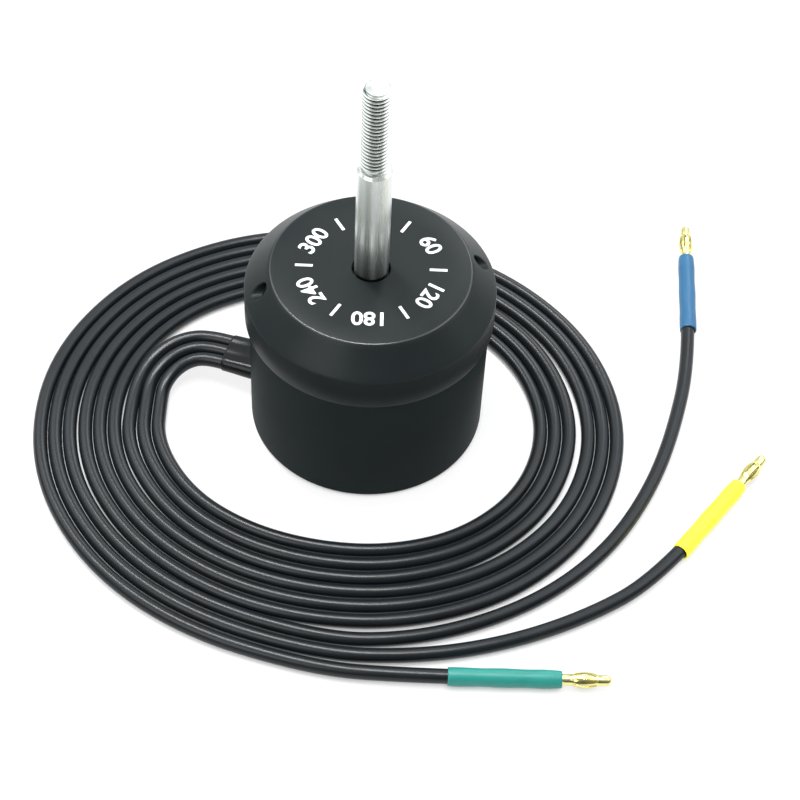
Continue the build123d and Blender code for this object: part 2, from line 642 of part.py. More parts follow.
# Leads inside the housing: down from the windings, then out through the slot to the end of the boot
with BuildPart() as inner_leads:
    for offset in (-LEAD_SPACING, 0, LEAD_SPACING):
        inside = radial_plane(LEAD_ANGLE, LEAD_EXIT_Z, INNER_LEAD_START_R)
        outside = radial_plane(LEAD_ANGLE, LEAD_EXIT_Z, BOOT_REACH)
        foot = inside.from_local_coords(Vector(offset, 0, 0))
        head = foot + Vector(0, 0, COIL_LOW - SEAT - LEAD_EXIT_Z)
        with BuildLine() as route:
            FilletPolyline(head, foot, outside.from_local_coords(Vector(offset, 0, 0)), radius=INNER_LEAD_BEND_R)
        with BuildSketch(Plane(origin=route.line @ 0, z_dir=route.line % 0)):
            Circle(LEAD_R)
        sweep()
keep(inner_leads, "inner_leads")

# Potting that seals the slot
with BuildPart() as lead_potting:
    with BuildSketch(radial_plane(LEAD_ANGLE, LEAD_EXIT_Z, POTTING_START_R)):
        SlotOverall(
            2 * (LEAD_SPACING + LEAD_R + LEAD_SLOT_PLAY - SEAT),
            2 * (LEAD_R + LEAD_SLOT_PLAY - SEAT),
        )
        with GridLocations(LEAD_SPACING, 1, 3, 1):
            Circle(LEAD_R + SEAT, mode=Mode.SUBTRACT)
    extrude(amount=SHELL_R - POTTING_RECESS - POTTING_START_R)
keep(lead_potting, "lead_potting")

# Shrink boot over the three leads, cut to the shell's curve
with BuildPart() as lead_boot:
    with BuildSketch(radial_plane(LEAD_ANGLE, LEAD_EXIT_Z, SHELL_BORE_R)):
        SlotOverall(2 * (LEAD_SPACING + LEAD_R + BOOT_WALL), 2 * (LEAD_R + BOOT_WALL))
        with GridLocations(LEAD_SPACING, 1, 3, 1):
            Circle(LEAD_R + SEAT, mode=Mode.SUBTRACT)
    extrude(amount=BOOT_REACH - SHELL_BORE_R)
    Cylinder(SHELL_R + SEAT, 6 * LEAD_EXIT_Z, mode=Mode.SUBTRACT)
keep(lead_boot, "lead_boot")


# Coil of the three leads
def coil_point(laps, offset=0.0):
    """A place in plan after that many laps, that far outside the middle lead, and the heading there."""

    def middle(turn):
        angle = pi + 2 * pi * turn
        radius = COIL_START_R + COIL_GROWTH * turn + COIL_OVAL * cos(2 * angle) + COIL_SKEW * sin(2 * angle)
        x = COIL_CENTRE[0] + COIL_DRIFT[0] * turn + radius * cos(angle)
        y = COIL_CENTRE[1] + COIL_DRIFT[1] * turn + radius * sin(angle)
        return x, y

    step = 0.001
    x, y = middle(laps)
    ahead_x, ahead_y = middle(laps + step)
    heading = atan2(ahead_y - y, ahead_x - x)
    return x + offset * sin(heading), y - offset * cos(heading), heading


def lead_offset(laps, place):
    """How far a lead lies outside the middle one; place is -1, 0 or 1."""
    front = max(0.0, -sin(pi + 2 * pi * laps))
    return place * (COIL_SPACING + COIL_FAN * front**2)


def coil_edge(first, last, side):
    """Points along the coil's inner (side -1) or outer (side 1) edge between two lap values."""
    count = round((last - first) * COIL_OUTLINE_POINTS)
    laps = [first + (last - first) * i / count for i in range(count + 1)]
    return [coil_point(lap, lead_offset(lap, side) + side * LEAD_R)[:2] for lap in laps]


LEAD_TOP = 2 * LEAD_R
with BuildPart() as lead_coil:
    with BuildSketch():
        with BuildLine():
            outer_edge = Spline(coil_edge(COIL_LAPS - 1, COIL_LAPS, 1))
            Line(outer_edge @ 1, coil_edge(COIL_LAPS - 1 / COIL_OUTLINE_POINTS, COIL_LAPS, -1)[-1])
            Line(coil_edge(COIL_LAPS - 1 / COIL_OUTLINE_POINTS, COIL_LAPS, -1)[-1], outer_edge @ 0)
        make_face()
        with BuildLine():
            inner_edge = Spline(coil_edge(0, 1, -1))
            Line(inner_edge @ 1, coil_edge(0, 1 / COIL_OUTLINE_POINTS, 1)[0])
            Line(coil_edge(0, 1 / COIL_OUTLINE_POINTS, 1)[0], inner_edge @ 0)
        make_face(mode=Mode.SUBTRACT)
    extrude(amount=LEAD_TOP)
keep(lead_coil, "lead_coil")


def route_radii(points):
    """Each corner's arc: 0.45 of its shorter run over the tangent of half its turn."""
    radii = []
    for before, corner, after in zip(points, points[1:], points[2:]):
        run_in = Vector(corner) - Vector(before)
        run_out = Vector(after) - Vector(corner)
        half_turn = radians(run_in.get_angle(run_out)) / 2
        radii.append(0.45 * min(run_in.length, run_out.length) / tan(half_turn))
    return radii


def lead_tube(name, points):
    """A plain round tube along runs joined by tangent arcs."""
    radii = route_radii(points)
    print(name, "arc radii", [round(radius, 1) for radius in radii])
    with BuildPart() as tube:
        with BuildLine() as route:
            FilletPolyline(*points, radius=radii)
        with BuildSketch(Plane(origin=route.line @ 0, z_dir=route.line % 0)):
            Circle(LEAD_R)
        sweep()
    drawn = sum(edge.length for edge in route.edges())
    swept = tube.part.volume / (pi * LEAD_R**2)
    print(name, "length", round(drawn, 1), "from volume", round(swept, 1))
    keep(tube, name)


def around_coil(reach, angle, height):
    """A place seen from the coil's centre: that far beyond the coil's first radius, at that angle and height."""
    radius = COIL_START_R + reach
    return (
        COIL_CENTRE[0] + radius * cos(radians(angle)),
        COIL_CENTRE[1] + radius * sin(radians(angle)),
        height,
    )


# From the boot to the coil: the first run leaves the boot square, the last one meets the coil square
BOOT_END = radial_plane(LEAD_ANGLE, LEAD_EXIT_Z, BOOT_REACH)
PLACES = {"blue": -1, "yellow": 0, "green": 1}
ROOT_RUNS = {"blue": (5.3, 5.3), "yellow": (6.8, 6.8), "green": (7.9, 6.1)}     # the first and the last
ROOT_CORNERS = {  # as around_coil takes them: reach, angle, height
    "blue": [(-4.0, 158.96, 6.24), (-0.74, 163.59, 4.58), (0.87, 168.92, 2.91)],
    "yellow": [(-0.77, 155.08, 6.24), (3.2, 160.72, 4.57), (5.26, 167.01, 2.91)],
    "green": [(2.13, 151.41, 6.36), (6.54, 157.82, 4.89), (8.84, 164.8, 3.29)],
}
for colour, place in PLACES.items():
    start = BOOT_END.from_local_coords(Vector(-place * LEAD_SPACING, 0, 0))
    first_corner = start + BOOT_END.z_dir * ROOT_RUNS[colour][0]
    x, y, heading = coil_point(0, lead_offset(0, place))
    finish = Vector(x, y, LEAD_R)
    last_corner = finish - Vector(cos(heading), sin(heading), 0) * ROOT_RUNS[colour][1]
    corners = [around_coil(*corner) for corner in ROOT_CORNERS[colour]]
    lead_tube(f"lead_{colour}_root", [tuple(start), tuple(first_corner), *corners, tuple(last_corner), tuple(finish)])

# From the coil to the connectors: each sleeve's mouth (reach, angle) and heading, and the corners before it
SLEEVE_MOUTHS = {"blue": (64.03, 20.53, 87.2), "yellow": (57.63, 335.97, 52.5), "green": (42.73, 290.45, 0.5)}
COIL_EXIT_RUN = 22.0
SLEEVE_ENTRY_RUN = 13.0
TAIL_CORNERS = {
    "blue": [(27.68, 286.23), (30.68, 302.4), (34.63, 317.23), (38.81, 331.9), (43.02, 346.19), (48.8, 359.67)],
    "yellow": [(33.57, 286.13), (39.12, 301.74), (46.47, 316.32)],
    "green": [],
}


def along(mouth, distance):
    """The place on a sleeve's centre line that far past its mouth."""
    reach, angle, heading = mouth
    x, y, z = around_coil(reach, angle, CONNECTOR_Z)
    return Vector(x + distance * cos(radians(heading)), y + distance * sin(radians(heading)), z)


for colour, place in PLACES.items():
    x, y, heading = coil_point(COIL_LAPS, lead_offset(COIL_LAPS, place))
    start = Vector(x, y, LEAD_R)
    first_corner = start + Vector(cos(heading), sin(heading), 0) * COIL_EXIT_RUN
    last_corner = along(SLEEVE_MOUTHS[colour], -SLEEVE_ENTRY_RUN)
    finish = along(SLEEVE_MOUTHS[colour], LEAD_IN_SLEEVE)
    corners = [around_coil(*corner, LEAD_R) for corner in TAIL_CORNERS[colour]]
    lead_tube(f"lead_{colour}_tail", [tuple(start), tuple(first_corner), *corners, tuple(last_corner), tuple(finish)])

# Connectors: a shrink sleeve, a pin with its solder cup, and the slotted spring round the pin
CUP_LENGTH = SLEEVE_LENGTH - LEAD_IN_SLEEVE - SEAM
SPRING_Z = CUP_LENGTH + PIN_NECK_LENGTH
NOSE_Z = SPRING_Z + PIN_SPRING_LENGTH
with BuildPart() as pin_blank:
    with BuildSketch(Plane.XZ):
        with BuildLine():
            body = Polyline(
                (0, NOSE_Z + PIN_NOSE_LENGTH),
                (0, 0),
                (LEAD_R, 0),
                (LEAD_R, CUP_LENGTH - 0.5),
                (PIN_NECK_R, CUP_LENGTH),
                (PIN_NECK_R, SPRING_Z),
                (PIN_CORE_R, SPRING_Z),
                (PIN_CORE_R, NOSE_Z),
                (PIN_NOSE_R, NOSE_Z),
                (PIN_NOSE_R, NOSE_Z + PIN_NOSE_LENGTH - PIN_NOSE_R),
            )
            RadiusArc(body @ 1, body @ 0, -PIN_NOSE_R)
        make_face()
    revolve(axis=Axis.Z)

with BuildPart() as spring_blank:
    with BuildSketch(Plane.XZ):
        with BuildLine():
            outer_arc = ThreePointArc(
                (PIN_NECK_R, SPRING_Z + SEAM),
                (PIN_SPRING_R, SPRING_Z + PIN_SPRING_LENGTH / 2),
                (PIN_NECK_R, NOSE_Z - SEAM),
            )
            inner_arc = ThreePointArc(
                (PIN_NECK_R - PIN_SPRING_WALL, SPRING_Z + SEAM),
                (PIN_SPRING_R - PIN_SPRING_WALL, SPRING_Z + PIN_SPRING_LENGTH / 2),
                (PIN_NECK_R - PIN_SPRING_WALL, NOSE_Z - SEAM),
            )
            Line(outer_arc @ 0, inner_arc @ 0)
            Line(outer_arc @ 1, inner_arc @ 1)
        make_face()
    revolve(axis=Axis.Z)
    with Locations((0, 0, SPRING_Z + PIN_SPRING_LENGTH / 2)):
        with PolarLocations(PIN_SPRING_R, PIN_SPRING_SLOTS):
            Box(2 * (PIN_SPRING_R - PIN_CORE_R), PIN_SPRING_SLOT, 0.7 * PIN_SPRING_LENGTH, mode=Mode.SUBTRACT)

for colour, mouth in SLEEVE_MOUTHS.items():
    direction = along(mouth, 1) - along(mouth, 0)
    with BuildPart() as sleeve:
        with BuildSketch(Plane(origin=along(mouth, 0), z_dir=direction)):
            Circle(SLEEVE_R)
            Circle(LEAD_R + SEAM, mode=Mode.SUBTRACT)
        extrude(amount=SLEEVE_LENGTH)
    keep(sleeve, f"sleeve_{colour}")
    pin_place = Plane(origin=along(mouth, LEAD_IN_SLEEVE + SEAM), z_dir=direction)
    with BuildPart() as pin:
        with Locations(pin_place):
            add(pin_blank.part)
    keep(pin, f"bullet_pin_{colour}")
    with BuildPart() as pin_spring:
        with Locations(pin_place):
            add(spring_blank.part)
    keep(pin_spring, f"bullet_spring_{colour}")
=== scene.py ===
"""Looks of a sealed outrunner motor for a hydrofoil board, its leads coiled round it on a table.

Lengths are worked out in millimetres and turned to metres where a mesh is made. +Z is the shaft,
and -Y faces the viewer.
"""

import json

import bmesh
import bpy
import numpy as np
from mathutils import Matrix, Vector

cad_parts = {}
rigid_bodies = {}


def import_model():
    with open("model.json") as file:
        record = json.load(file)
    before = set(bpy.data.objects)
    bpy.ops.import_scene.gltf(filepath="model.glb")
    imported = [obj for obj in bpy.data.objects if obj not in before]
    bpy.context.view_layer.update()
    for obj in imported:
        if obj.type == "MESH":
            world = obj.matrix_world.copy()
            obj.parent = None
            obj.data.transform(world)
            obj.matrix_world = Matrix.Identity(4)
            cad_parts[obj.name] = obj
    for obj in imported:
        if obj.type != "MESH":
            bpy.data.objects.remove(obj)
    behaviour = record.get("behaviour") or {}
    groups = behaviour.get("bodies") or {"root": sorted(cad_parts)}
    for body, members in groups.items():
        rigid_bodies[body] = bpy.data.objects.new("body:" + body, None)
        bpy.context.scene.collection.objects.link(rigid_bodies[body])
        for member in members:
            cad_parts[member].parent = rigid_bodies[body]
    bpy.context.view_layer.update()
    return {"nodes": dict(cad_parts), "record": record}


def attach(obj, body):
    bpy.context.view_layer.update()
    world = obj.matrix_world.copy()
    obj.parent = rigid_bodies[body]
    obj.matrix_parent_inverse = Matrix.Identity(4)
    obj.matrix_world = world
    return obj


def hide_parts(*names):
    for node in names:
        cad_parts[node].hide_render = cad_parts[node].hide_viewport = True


for leftover in list(bpy.data.objects):
    bpy.data.objects.remove(leftover)
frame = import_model()


# The studio: a white table under a white tent. The camera stands where the photographer's did,
# about 50 degrees above the table. Soft boxes give the long pale streaks on the shaft and the cap's
# bevel, and a narrow strip light above gives each lead its thin bright line.
TENT_BRIGHT_WAY, TENT_DIM, TENT_BRIGHT = (0.12, 0.6, 0.79), 0.18, 1.28
FOLD_SCALE, FOLD_STRETCH, FOLD_DIM, FOLD_BRIGHT = 2.6, 0.06, 0.6, 1.3
TABLE_HALF, TABLE_DROP, CARD_WHITE, CARD_GAP = 3.0, 0.0002, 0.82, 0.0015
CAMERA_PLACE = (0.0, -0.4052, 0.4949)
SOFT_BOXES = (  # name, place and size in metres, watts
    ("soft_box_left", (-0.85, 0.35, 0.9), (1.1, 0.9), 5.4),
    ("soft_box_right", (0.9, 0.2, 0.85), (0.9, 1.1), 5.9),
    ("soft_box_back", (0.4, 0.95, 0.75), (0.5, 0.5), 3.6),
    ("soft_box_front", (-0.75, -0.8, 1.0), (0.9, 0.8), 7.5),
    ("strip_light_above", (-0.17, 0.2, 1.3), (0.13, 0.95), 19.0),
)


def linear(hex_colour):
    """An sRGB hex colour as linear red, green, blue and alpha."""
    part = np.array([int(hex_colour[i : i + 2], 16) for i in (1, 3, 5)]) / 255
    return (*np.where(part <= 0.04045, part / 12.92, ((part + 0.055) / 1.055) ** 2.4), 1.0)


def add_node(tree, kind, sockets=None, links=None, **settings):
    """Adds one node, sets its settings and sockets, and joins the given outputs to its inputs."""
    made = tree.nodes.new(kind)
    for name, value in settings.items():
        setattr(made, name, value)
    for name, value in (sockets or {}).items():
        made.inputs[name].default_value = value
    for name, output in (links or {}).items():
        tree.links.new(output, made.inputs[name])
    return made


def white_to_camera(tree, share):
    """The share for rays from the camera or from a glossy or clear surface, and 0 for the rest."""
    path = add_node(tree, "ShaderNodeLightPath")
    first = add_node(
        tree,
        "ShaderNodeMath",
        links={0: path.outputs["Is Camera Ray"], 1: path.outputs["Is Glossy Ray"]},
        operation="ADD",
    )
    both = add_node(
        tree,
        "ShaderNodeMath",
        links={0: first.outputs[0], 1: path.outputs["Is Transmission Ray"]},
        operation="ADD",
        use_clamp=True,
    )
    scaled = add_node(
        tree, "ShaderNodeMath", {1: share}, {0: both.outputs[0]}, operation="MULTIPLY"
    )
    return scaled.outputs[0]


studio = bpy.context.scene
studio.view_settings.view_transform = "Standard"

# The tent is brightest behind the motor and above it. Its cloth hangs in upright folds, which
# give the metal its uneven streaks.
tent = bpy.data.worlds.new("white_tent")
tent.use_nodes = True
tent_tree = tent.node_tree
tent_tree.nodes.clear()
tent_way = add_node(tent_tree, "ShaderNodeTexCoord").outputs["Generated"]
tent_back = add_node(
    tent_tree, "ShaderNodeVectorMath", {1: TENT_BRIGHT_WAY}, {0: tent_way}, operation="DOT_PRODUCT"
)
tent_depth = add_node(
    tent_tree,
    "ShaderNodeMapRange",
    {"From Min": 0.1, "To Min": TENT_DIM, "To Max": TENT_BRIGHT},
    {"Value": tent_back.outputs["Value"]},
)
tent_stretch = add_node(
    tent_tree, "ShaderNodeMapping", {"Scale": (1.0, 1.0, FOLD_STRETCH)}, {"Vector": tent_way}
)
tent_folds = add_node(
    tent_tree,
    "ShaderNodeTexNoise",
    {"Scale": FOLD_SCALE, "Detail": 2.0},
    {"Vector": tent_stretch.outputs[0]},
)
tent_contrast = add_node(
    tent_tree,
    "ShaderNodeMapRange",
    {"From Min": 0.38, "From Max": 0.62, "To Min": FOLD_DIM, "To Max": FOLD_BRIGHT},
    {"Value": tent_folds.outputs[0]},
)
tent_strength = add_node(
    tent_tree,
    "ShaderNodeMath",
    links={0: tent_depth.outputs[0], 1: tent_contrast.outputs[0]},
    operation="MULTIPLY",
)
tent_light = add_node(
    tent_tree,
    "ShaderNodeBackground",
    {"Color": linear("#f2f6f8")},
    {"Strength": tent_strength.outputs[0]},
)
add_node(tent_tree, "ShaderNodeOutputWorld", links={"Surface": tent_light.outputs[0]})
studio.world = tent

# The table is white card. To the camera most of its white is its own, less so within CARD_GAP
# metres of a lead, where ambient occlusion paints shade, so that the narrow gaps between the leads
# stay dark as real ones do.
table_mesh = bpy.data.meshes.new("table_top")
table_corners = TABLE_HALF * np.array([[-1, -1, 0], [1, -1, 0], [1, 1, 0], [-1, 1, 0]])
table_mesh.from_pydata((table_corners - [0, 0, TABLE_DROP]).tolist(), [], [(0, 1, 2, 3)])
table_top = bpy.data.objects.new("table_top", table_mesh)
studio.collection.objects.link(table_top)
white_card = bpy.data.materials.new("white_card")
white_card.use_nodes = True
card_tree = white_card.node_tree
card_tree.nodes.clear()
card_diffuse = add_node(card_tree, "ShaderNodeBsdfDiffuse", {"Color": linear("#f7f7f7")})
card_white = add_node(
    card_tree, "ShaderNodeEmission", {"Color": (1, 1, 1, 1), "Strength": 1.0}
)
card_open = add_node(card_tree, "ShaderNodeAmbientOcclusion", {"Distance": CARD_GAP}, samples=8)
card_share = add_node(
    card_tree,
    "ShaderNodeMath",
    links={0: white_to_camera(card_tree, CARD_WHITE), 1: card_open.outputs["AO"]},
    operation="MULTIPLY",
)
card_mix = add_node(
    card_tree,
    "ShaderNodeMixShader",
    links={0: card_share.outputs[0], 1: card_diffuse.outputs[0], 2: card_white.outputs[0]},
)
add_node(card_tree, "ShaderNodeOutputMaterial", links={"Surface": card_mix.outputs[0]})
table_mesh.materials.append(white_card)

# Each lamp points at a spot 30 mm above the table's middle.
for lamp_name, place, size, power in SOFT_BOXES:
    lamp = bpy.data.lights.new(lamp_name, "AREA")
    lamp.shape = "RECTANGLE"
    lamp.size, lamp.size_y = size
    lamp.energy = power
    holder = bpy.data.objects.new(lamp_name, lamp)
    studio.collection.objects.link(holder)
    facing = Vector(np.array(place) - [0, 0, 0.03]).to_track_quat("Z", "Y")
    holder.matrix_world = Matrix.Translation(place) @ facing.to_matrix().to_4x4()

lens = bpy.data.cameras.new("photograph_camera")
lens.sensor_width = 36.0
lens.lens = 92.35
lens.clip_start, lens.clip_end = 0.05, 20.0
camera = bpy.data.objects.new("photograph_camera", lens)
studio.collection.objects.link(camera)
right, up = np.array([0.99920, 0.01770, 0.03570]), np.array([-0.03634, 0.77207, 0.63451])
ahead = np.array([0.01633, 0.63531, -0.77209])
camera_turn = np.eye(4)
camera_turn[:3] = np.column_stack([right, up, -ahead, CAMERA_PLACE])
camera.matrix_world = Matrix(camera_turn.tolist())
studio.camera = camera


# The front cap: one turned piece of aluminium, bead blasted and anodised black, screwed over the
# shell's neck. Its bevel has a tapped hole on each side, for a face spanner or a screw, and the
# shaft leaves through its middle.
CAP_TOP, BEVEL_TOP, BEVEL_FOOT = 62.0, (29.457, 61.782), (36.643, 54.218)
CAP_COLUMNS, COLUMN_STEP = 240, np.radians(1.5)
FIRST_BEVEL, BEVEL_ROWS, PATCH_HALF, PATCH_RINGS = 7, 8, 4, 6
HOLE_R, HOLE_ANGLE, HOLE_Z, HOLE_FLOOR = 2.24, np.radians(12.9), 58.0, 23.0
MOUTH_CHAMFER, FLOOR_RIM = 0.35, 0.2
PLAIN_BORE, RIDGES_FROM, RIDGE_STEP, RIDGE_RISE, RIDGE_STEPS = 3.4, 3.6, 0.4, 0.15, 12
CUT_EDGE, CUT_DEPTH, CUT_ROUGHNESS, CUT_SPECULAR = (0.0290, 0.02946), 0.0004, 0.27, 0.6


def ring_grid(radii, heights, angles):
    """A turned surface: row i, column j stands at radius i and height i, turned by angle j."""
    radii, heights = np.asarray(radii, float)[:, None], np.asarray(heights, float)[:, None]
    return np.stack([radii * np.cos(angles), radii * np.sin(angles), heights + 0 * angles], -1)


def grid_faces(rows, columns, close_rows=False, close_columns=False):
    """Quads between neighbouring points of a grid, as rows of four point numbers."""
    number = np.arange(rows * columns).reshape(rows, columns)
    if close_rows:
        number = np.vstack([number, number[:1]])
    if close_columns:
        number = np.hstack([number, number[:, :1]])
    quads = [number[:-1, :-1], number[:-1, 1:], number[1:, 1:], number[1:, :-1]]
    return np.stack(quads, -1).reshape(-1, 4)


def new_piece(name, shells, material, body="housing", sharp=32.0):
    """Makes one object from (points in mm, quads) pairs.

    It merges what meets, turns the faces outwards, and keeps edges of more than sharp degrees.
    """
    points, faces, count = [], [], 0
    for shell_points, shell_faces in shells:
        points.append(np.asarray(shell_points, float).reshape(-1, 3))
        faces.append(np.asarray(shell_faces) + count)
        count += len(points[-1])
    mesh = bpy.data.meshes.new(name)
    mesh.from_pydata((np.vstack(points) / 1000).tolist(), [], np.vstack(faces).tolist())
    shape = bmesh.new()
    shape.from_mesh(mesh)
    bmesh.ops.remove_doubles(shape, verts=shape.verts, dist=1e-6)
    bmesh.ops.dissolve_degenerate(shape, edges=shape.edges, dist=1e-7)
    bmesh.ops.recalc_face_normals(shape, faces=shape.faces)
    shape.to_mesh(mesh)
    shape.free()
    mesh.polygons.foreach_set("use_smooth", np.ones(len(mesh.polygons), bool))
    mesh.set_sharp_from_angle(angle=np.radians(sharp))
    mesh.materials.append(material)
    piece = bpy.data.objects.new(name, mesh)
    studio.collection.objects.link(piece)
    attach(piece, body)
    return piece


def start_material(name):
    """An empty node material and its Object coordinates."""
    made = bpy.data.materials.new(name)
    made.use_nodes = True
    made.node_tree.nodes.clear()
    return made, made.node_tree, add_node(made.node_tree, "ShaderNodeTexCoord").outputs["Object"]


def mottled_links(tree, tones, gloss, mottle, relief, skin):
    """The links of a surface that isn't even.

    Its colour runs between the two tones, and its roughness between the two of gloss, with the
    mottle's noise. The skin's noise is its height, with relief's strength and distance in metres.
    """
    colour = add_node(
        tree,
        "ShaderNodeMix",
        {6: linear(tones[0]), 7: linear(tones[1])},
        {0: mottle.outputs[0]},
        data_type="RGBA",
    )
    rough = add_node(
        tree,
        "ShaderNodeMapRange",
        {"To Min": gloss[0], "To Max": gloss[1]},
        {"Value": mottle.outputs[0]},
    )
    bump = add_node(
        tree,
        "ShaderNodeBump",
        {"Strength": relief[0], "Distance": relief[1]},
        {"Height": skin.outputs[0]},
    )
    return {
        "Base Color": colour.outputs[2],
        "Roughness": rough.outputs[0],
        "Normal": bump.outputs[0],
    }


def set_surface(tree, sockets, links):
    """Ends a material: one Principled surface with those sockets and links."""
    surface = add_node(tree, "ShaderNodeBsdfPrincipled", sockets, links)
    add_node(tree, "ShaderNodeOutputMaterial", links={"Surface": surface.outputs[0]})


def from_axis(tree, place):
    """A point's distance from the shaft's axis, which is the length of x and y, and its height."""
    parts = add_node(tree, "ShaderNodeSeparateXYZ", links={0: place})
    across = add_node(
        tree, "ShaderNodeCombineXYZ", links={0: parts.outputs[0], 1: parts.outputs[1]}
    )
    radius = add_node(
        tree, "ShaderNodeVectorMath", links={0: across.outputs[0]}, operation="LENGTH"
    )
    return radius.outputs["Value"], parts.outputs[2]


def blasted_anodised(name, dark, pale, roughness, specular, cut_edge=None):
    """Black anodised aluminium over a blasted surface.

    It has a fine even grain of about 0.2 mm and faint cloudy patches some 17 mm across. With
    cut_edge, an inner and an outer radius in metres, the cap's top was cut there after the
    blasting, down to CUT_DEPTH, and shines.
    """
    material, tree, place = start_material(name)
    grain = add_node(
        tree, "ShaderNodeTexNoise", {"Scale": 5200.0, "Detail": 2.0}, {"Vector": place}
    )
    cloud = add_node(
        tree, "ShaderNodeTexNoise", {"Scale": 60.0, "Detail": 3.0}, {"Vector": place}
    )
    gloss = (roughness - 0.05, roughness + 0.07)
    links = mottled_links(tree, (dark, pale), gloss, cloud, (0.25, 0.00003), grain)
    if cut_edge:
        radius, height = from_axis(tree, place)
        band = add_node(
            tree,
            "ShaderNodeMath",
            {1: sum(cut_edge) / 2, 2: (cut_edge[1] - cut_edge[0]) / 2},
            {0: radius},
            operation="COMPARE",
        )
        high = add_node(
            tree,
            "ShaderNodeMath",
            {1: CAP_TOP / 1000 - CUT_DEPTH},
            {0: height},
            operation="GREATER_THAN",
        )
        edge = add_node(
            tree,
            "ShaderNodeMath",
            links={0: band.outputs[0], 1: high.outputs[0]},
            operation="MULTIPLY",
        )
        smooth = add_node(
            tree,
            "ShaderNodeMix",
            {3: CUT_ROUGHNESS},
            {0: edge.outputs[0], 2: links["Roughness"]},
            data_type="FLOAT",
        )
        level = add_node(
            tree,
            "ShaderNodeMix",
            {2: specular, 3: CUT_SPECULAR},
            {0: edge.outputs[0]},
            data_type="FLOAT",
        )
        links["Roughness"] = smooth.outputs[0]
        links["Specular IOR Level"] = level.outputs[0]
    set_surface(tree, {"Specular IOR Level": specular}, links)
    return material


cap_finish = blasted_anodised(
    "anodised_cap", "#171c1d", "#1c2222", 0.35, 0.15, CUT_EDGE
)
cap_angles = HOLE_ANGLE + COLUMN_STEP * np.arange(CAP_COLUMNS)
bevel_fall = np.array(BEVEL_FOOT) - BEVEL_TOP
cap_profile = np.array(
    [(5.5, 60.5), (5.5, 61.75), (5.75, 62.0), (14.0, 62.0), (22.0, 62.0), (28.95, 62.0)]
    + [(29.19, 61.93)]
    + [tuple(BEVEL_TOP + share * bevel_fall) for share in np.linspace(0, 1, BEVEL_ROWS + 1)]
    + [(36.81, 54.0), (36.85, 53.7), (36.85, 48.6), (36.85, 43.65), (36.78, 43.42), (36.55, 43.3)]
    + [(34.6, 43.3), (34.4, 43.5), (34.4, 50.0), (32.95, 50.0), (32.95, 47.72), (31.35, 47.72)]
    + [(31.35, 45.88), (32.95, 45.88), (32.95, 45.6), (30.0, 45.6), (30.0, 50.0), (17.0, 50.0)]
    + [(17.0, 46.8), (13.02, 46.8), (13.02, 56.1), (11.02, 56.1), (11.02, 60.5)]
)
cap_faces = grid_faces(len(cap_profile), CAP_COLUMNS, close_rows=True, close_columns=True)
face_row, face_column = np.divmod(np.arange(len(cap_faces)), CAP_COLUMNS)
in_bevel = (face_row >= FIRST_BEVEL) & (face_row < FIRST_BEVEL + BEVEL_ROWS)
half_turn = CAP_COLUMNS // 2
near_hole = np.isin(
    face_column % half_turn, [*range(PATCH_HALF), *range(half_turn - PATCH_HALF, half_turn)]
)
cap_grid = ring_grid(cap_profile[:, 0], cap_profile[:, 1], cap_angles)
cap_shells = [(cap_grid, cap_faces[~(in_bevel & near_hole)])]


def bevel_radius(height):
    """The bevel's radius at a height, in a straight line from its top to its foot."""
    share = (BEVEL_TOP[1] - height) / (BEVEL_TOP[1] - BEVEL_FOOT[1])
    return BEVEL_TOP[0] + share * (BEVEL_FOOT[0] - BEVEL_TOP[0])


def hole_in_bevel(side):
    """The bevel round one tapped hole, and the hole's bore.

    The bevel's rings run from a rectangle of its grid points to the hole's mouth. The bore's rings
    then go inwards, each at a depth below the mouth and with a radius, over the thread's ridges.
    """
    heights = cap_profile[FIRST_BEVEL : FIRST_BEVEL + BEVEL_ROWS + 1, 1]
    across = COLUMN_STEP * np.arange(-PATCH_HALF, PATCH_HALF + 1)
    edge = [(a, heights[0]) for a in across[:-1]] + [(across[-1], h) for h in heights[:-1]]
    edge += [(a, heights[-1]) for a in across[:0:-1]] + [(across[0], h) for h in heights[:0:-1]]
    edge = np.array(edge)
    clock = np.arctan2(edge[:, 1] - HOLE_Z, edge[:, 0] * bevel_radius(HOLE_Z))
    turned_to = HOLE_ANGLE + side * np.pi
    mouth_r = HOLE_R + MOUTH_CHAMFER
    rings = []
    for share in np.linspace(0, 1, PATCH_RINGS):
        mouth_z = HOLE_Z + mouth_r * np.sin(clock)
        mouth_angle = np.arcsin(mouth_r * np.cos(clock) / bevel_radius(mouth_z))
        angle = turned_to + (edge[:, 0] + share * (mouth_angle - edge[:, 0]))
        height = edge[:, 1] + share * (mouth_z - edge[:, 1])
        radius = bevel_radius(height)
        rings.append(np.stack([radius * np.cos(angle), radius * np.sin(angle), height], -1))
    outwards = np.array([np.cos(turned_to), np.sin(turned_to), 0])
    along = np.array([-outwards[1], outwards[0], 0])
    depth_now = rings[-1] @ outwards
    bore = [(MOUTH_CHAMFER, HOLE_R), (PLAIN_BORE, HOLE_R)]
    for step in range(RIDGE_STEPS):
        bore.append((RIDGES_FROM + RIDGE_STEP * step, HOLE_R - RIDGE_RISE * (step % 2 == 0)))
    least = HOLE_FLOOR + FLOOR_RIM
    stops = [(np.maximum(depth_now - drop, least), radius) for drop, radius in bore]
    stops.append((np.full(len(clock), HOLE_FLOOR), HOLE_R))
    for depth, radius in stops:
        ring = outwards * depth[:, None] + along * (radius * np.cos(clock))[:, None]
        ring[:, 2] = HOLE_Z + radius * np.sin(clock)
        rings.append(ring)
    rings.append(np.tile(outwards * HOLE_FLOOR + [0, 0, HOLE_Z], (len(clock), 1)))
    return np.array(rings), grid_faces(len(rings), len(clock), close_columns=True)


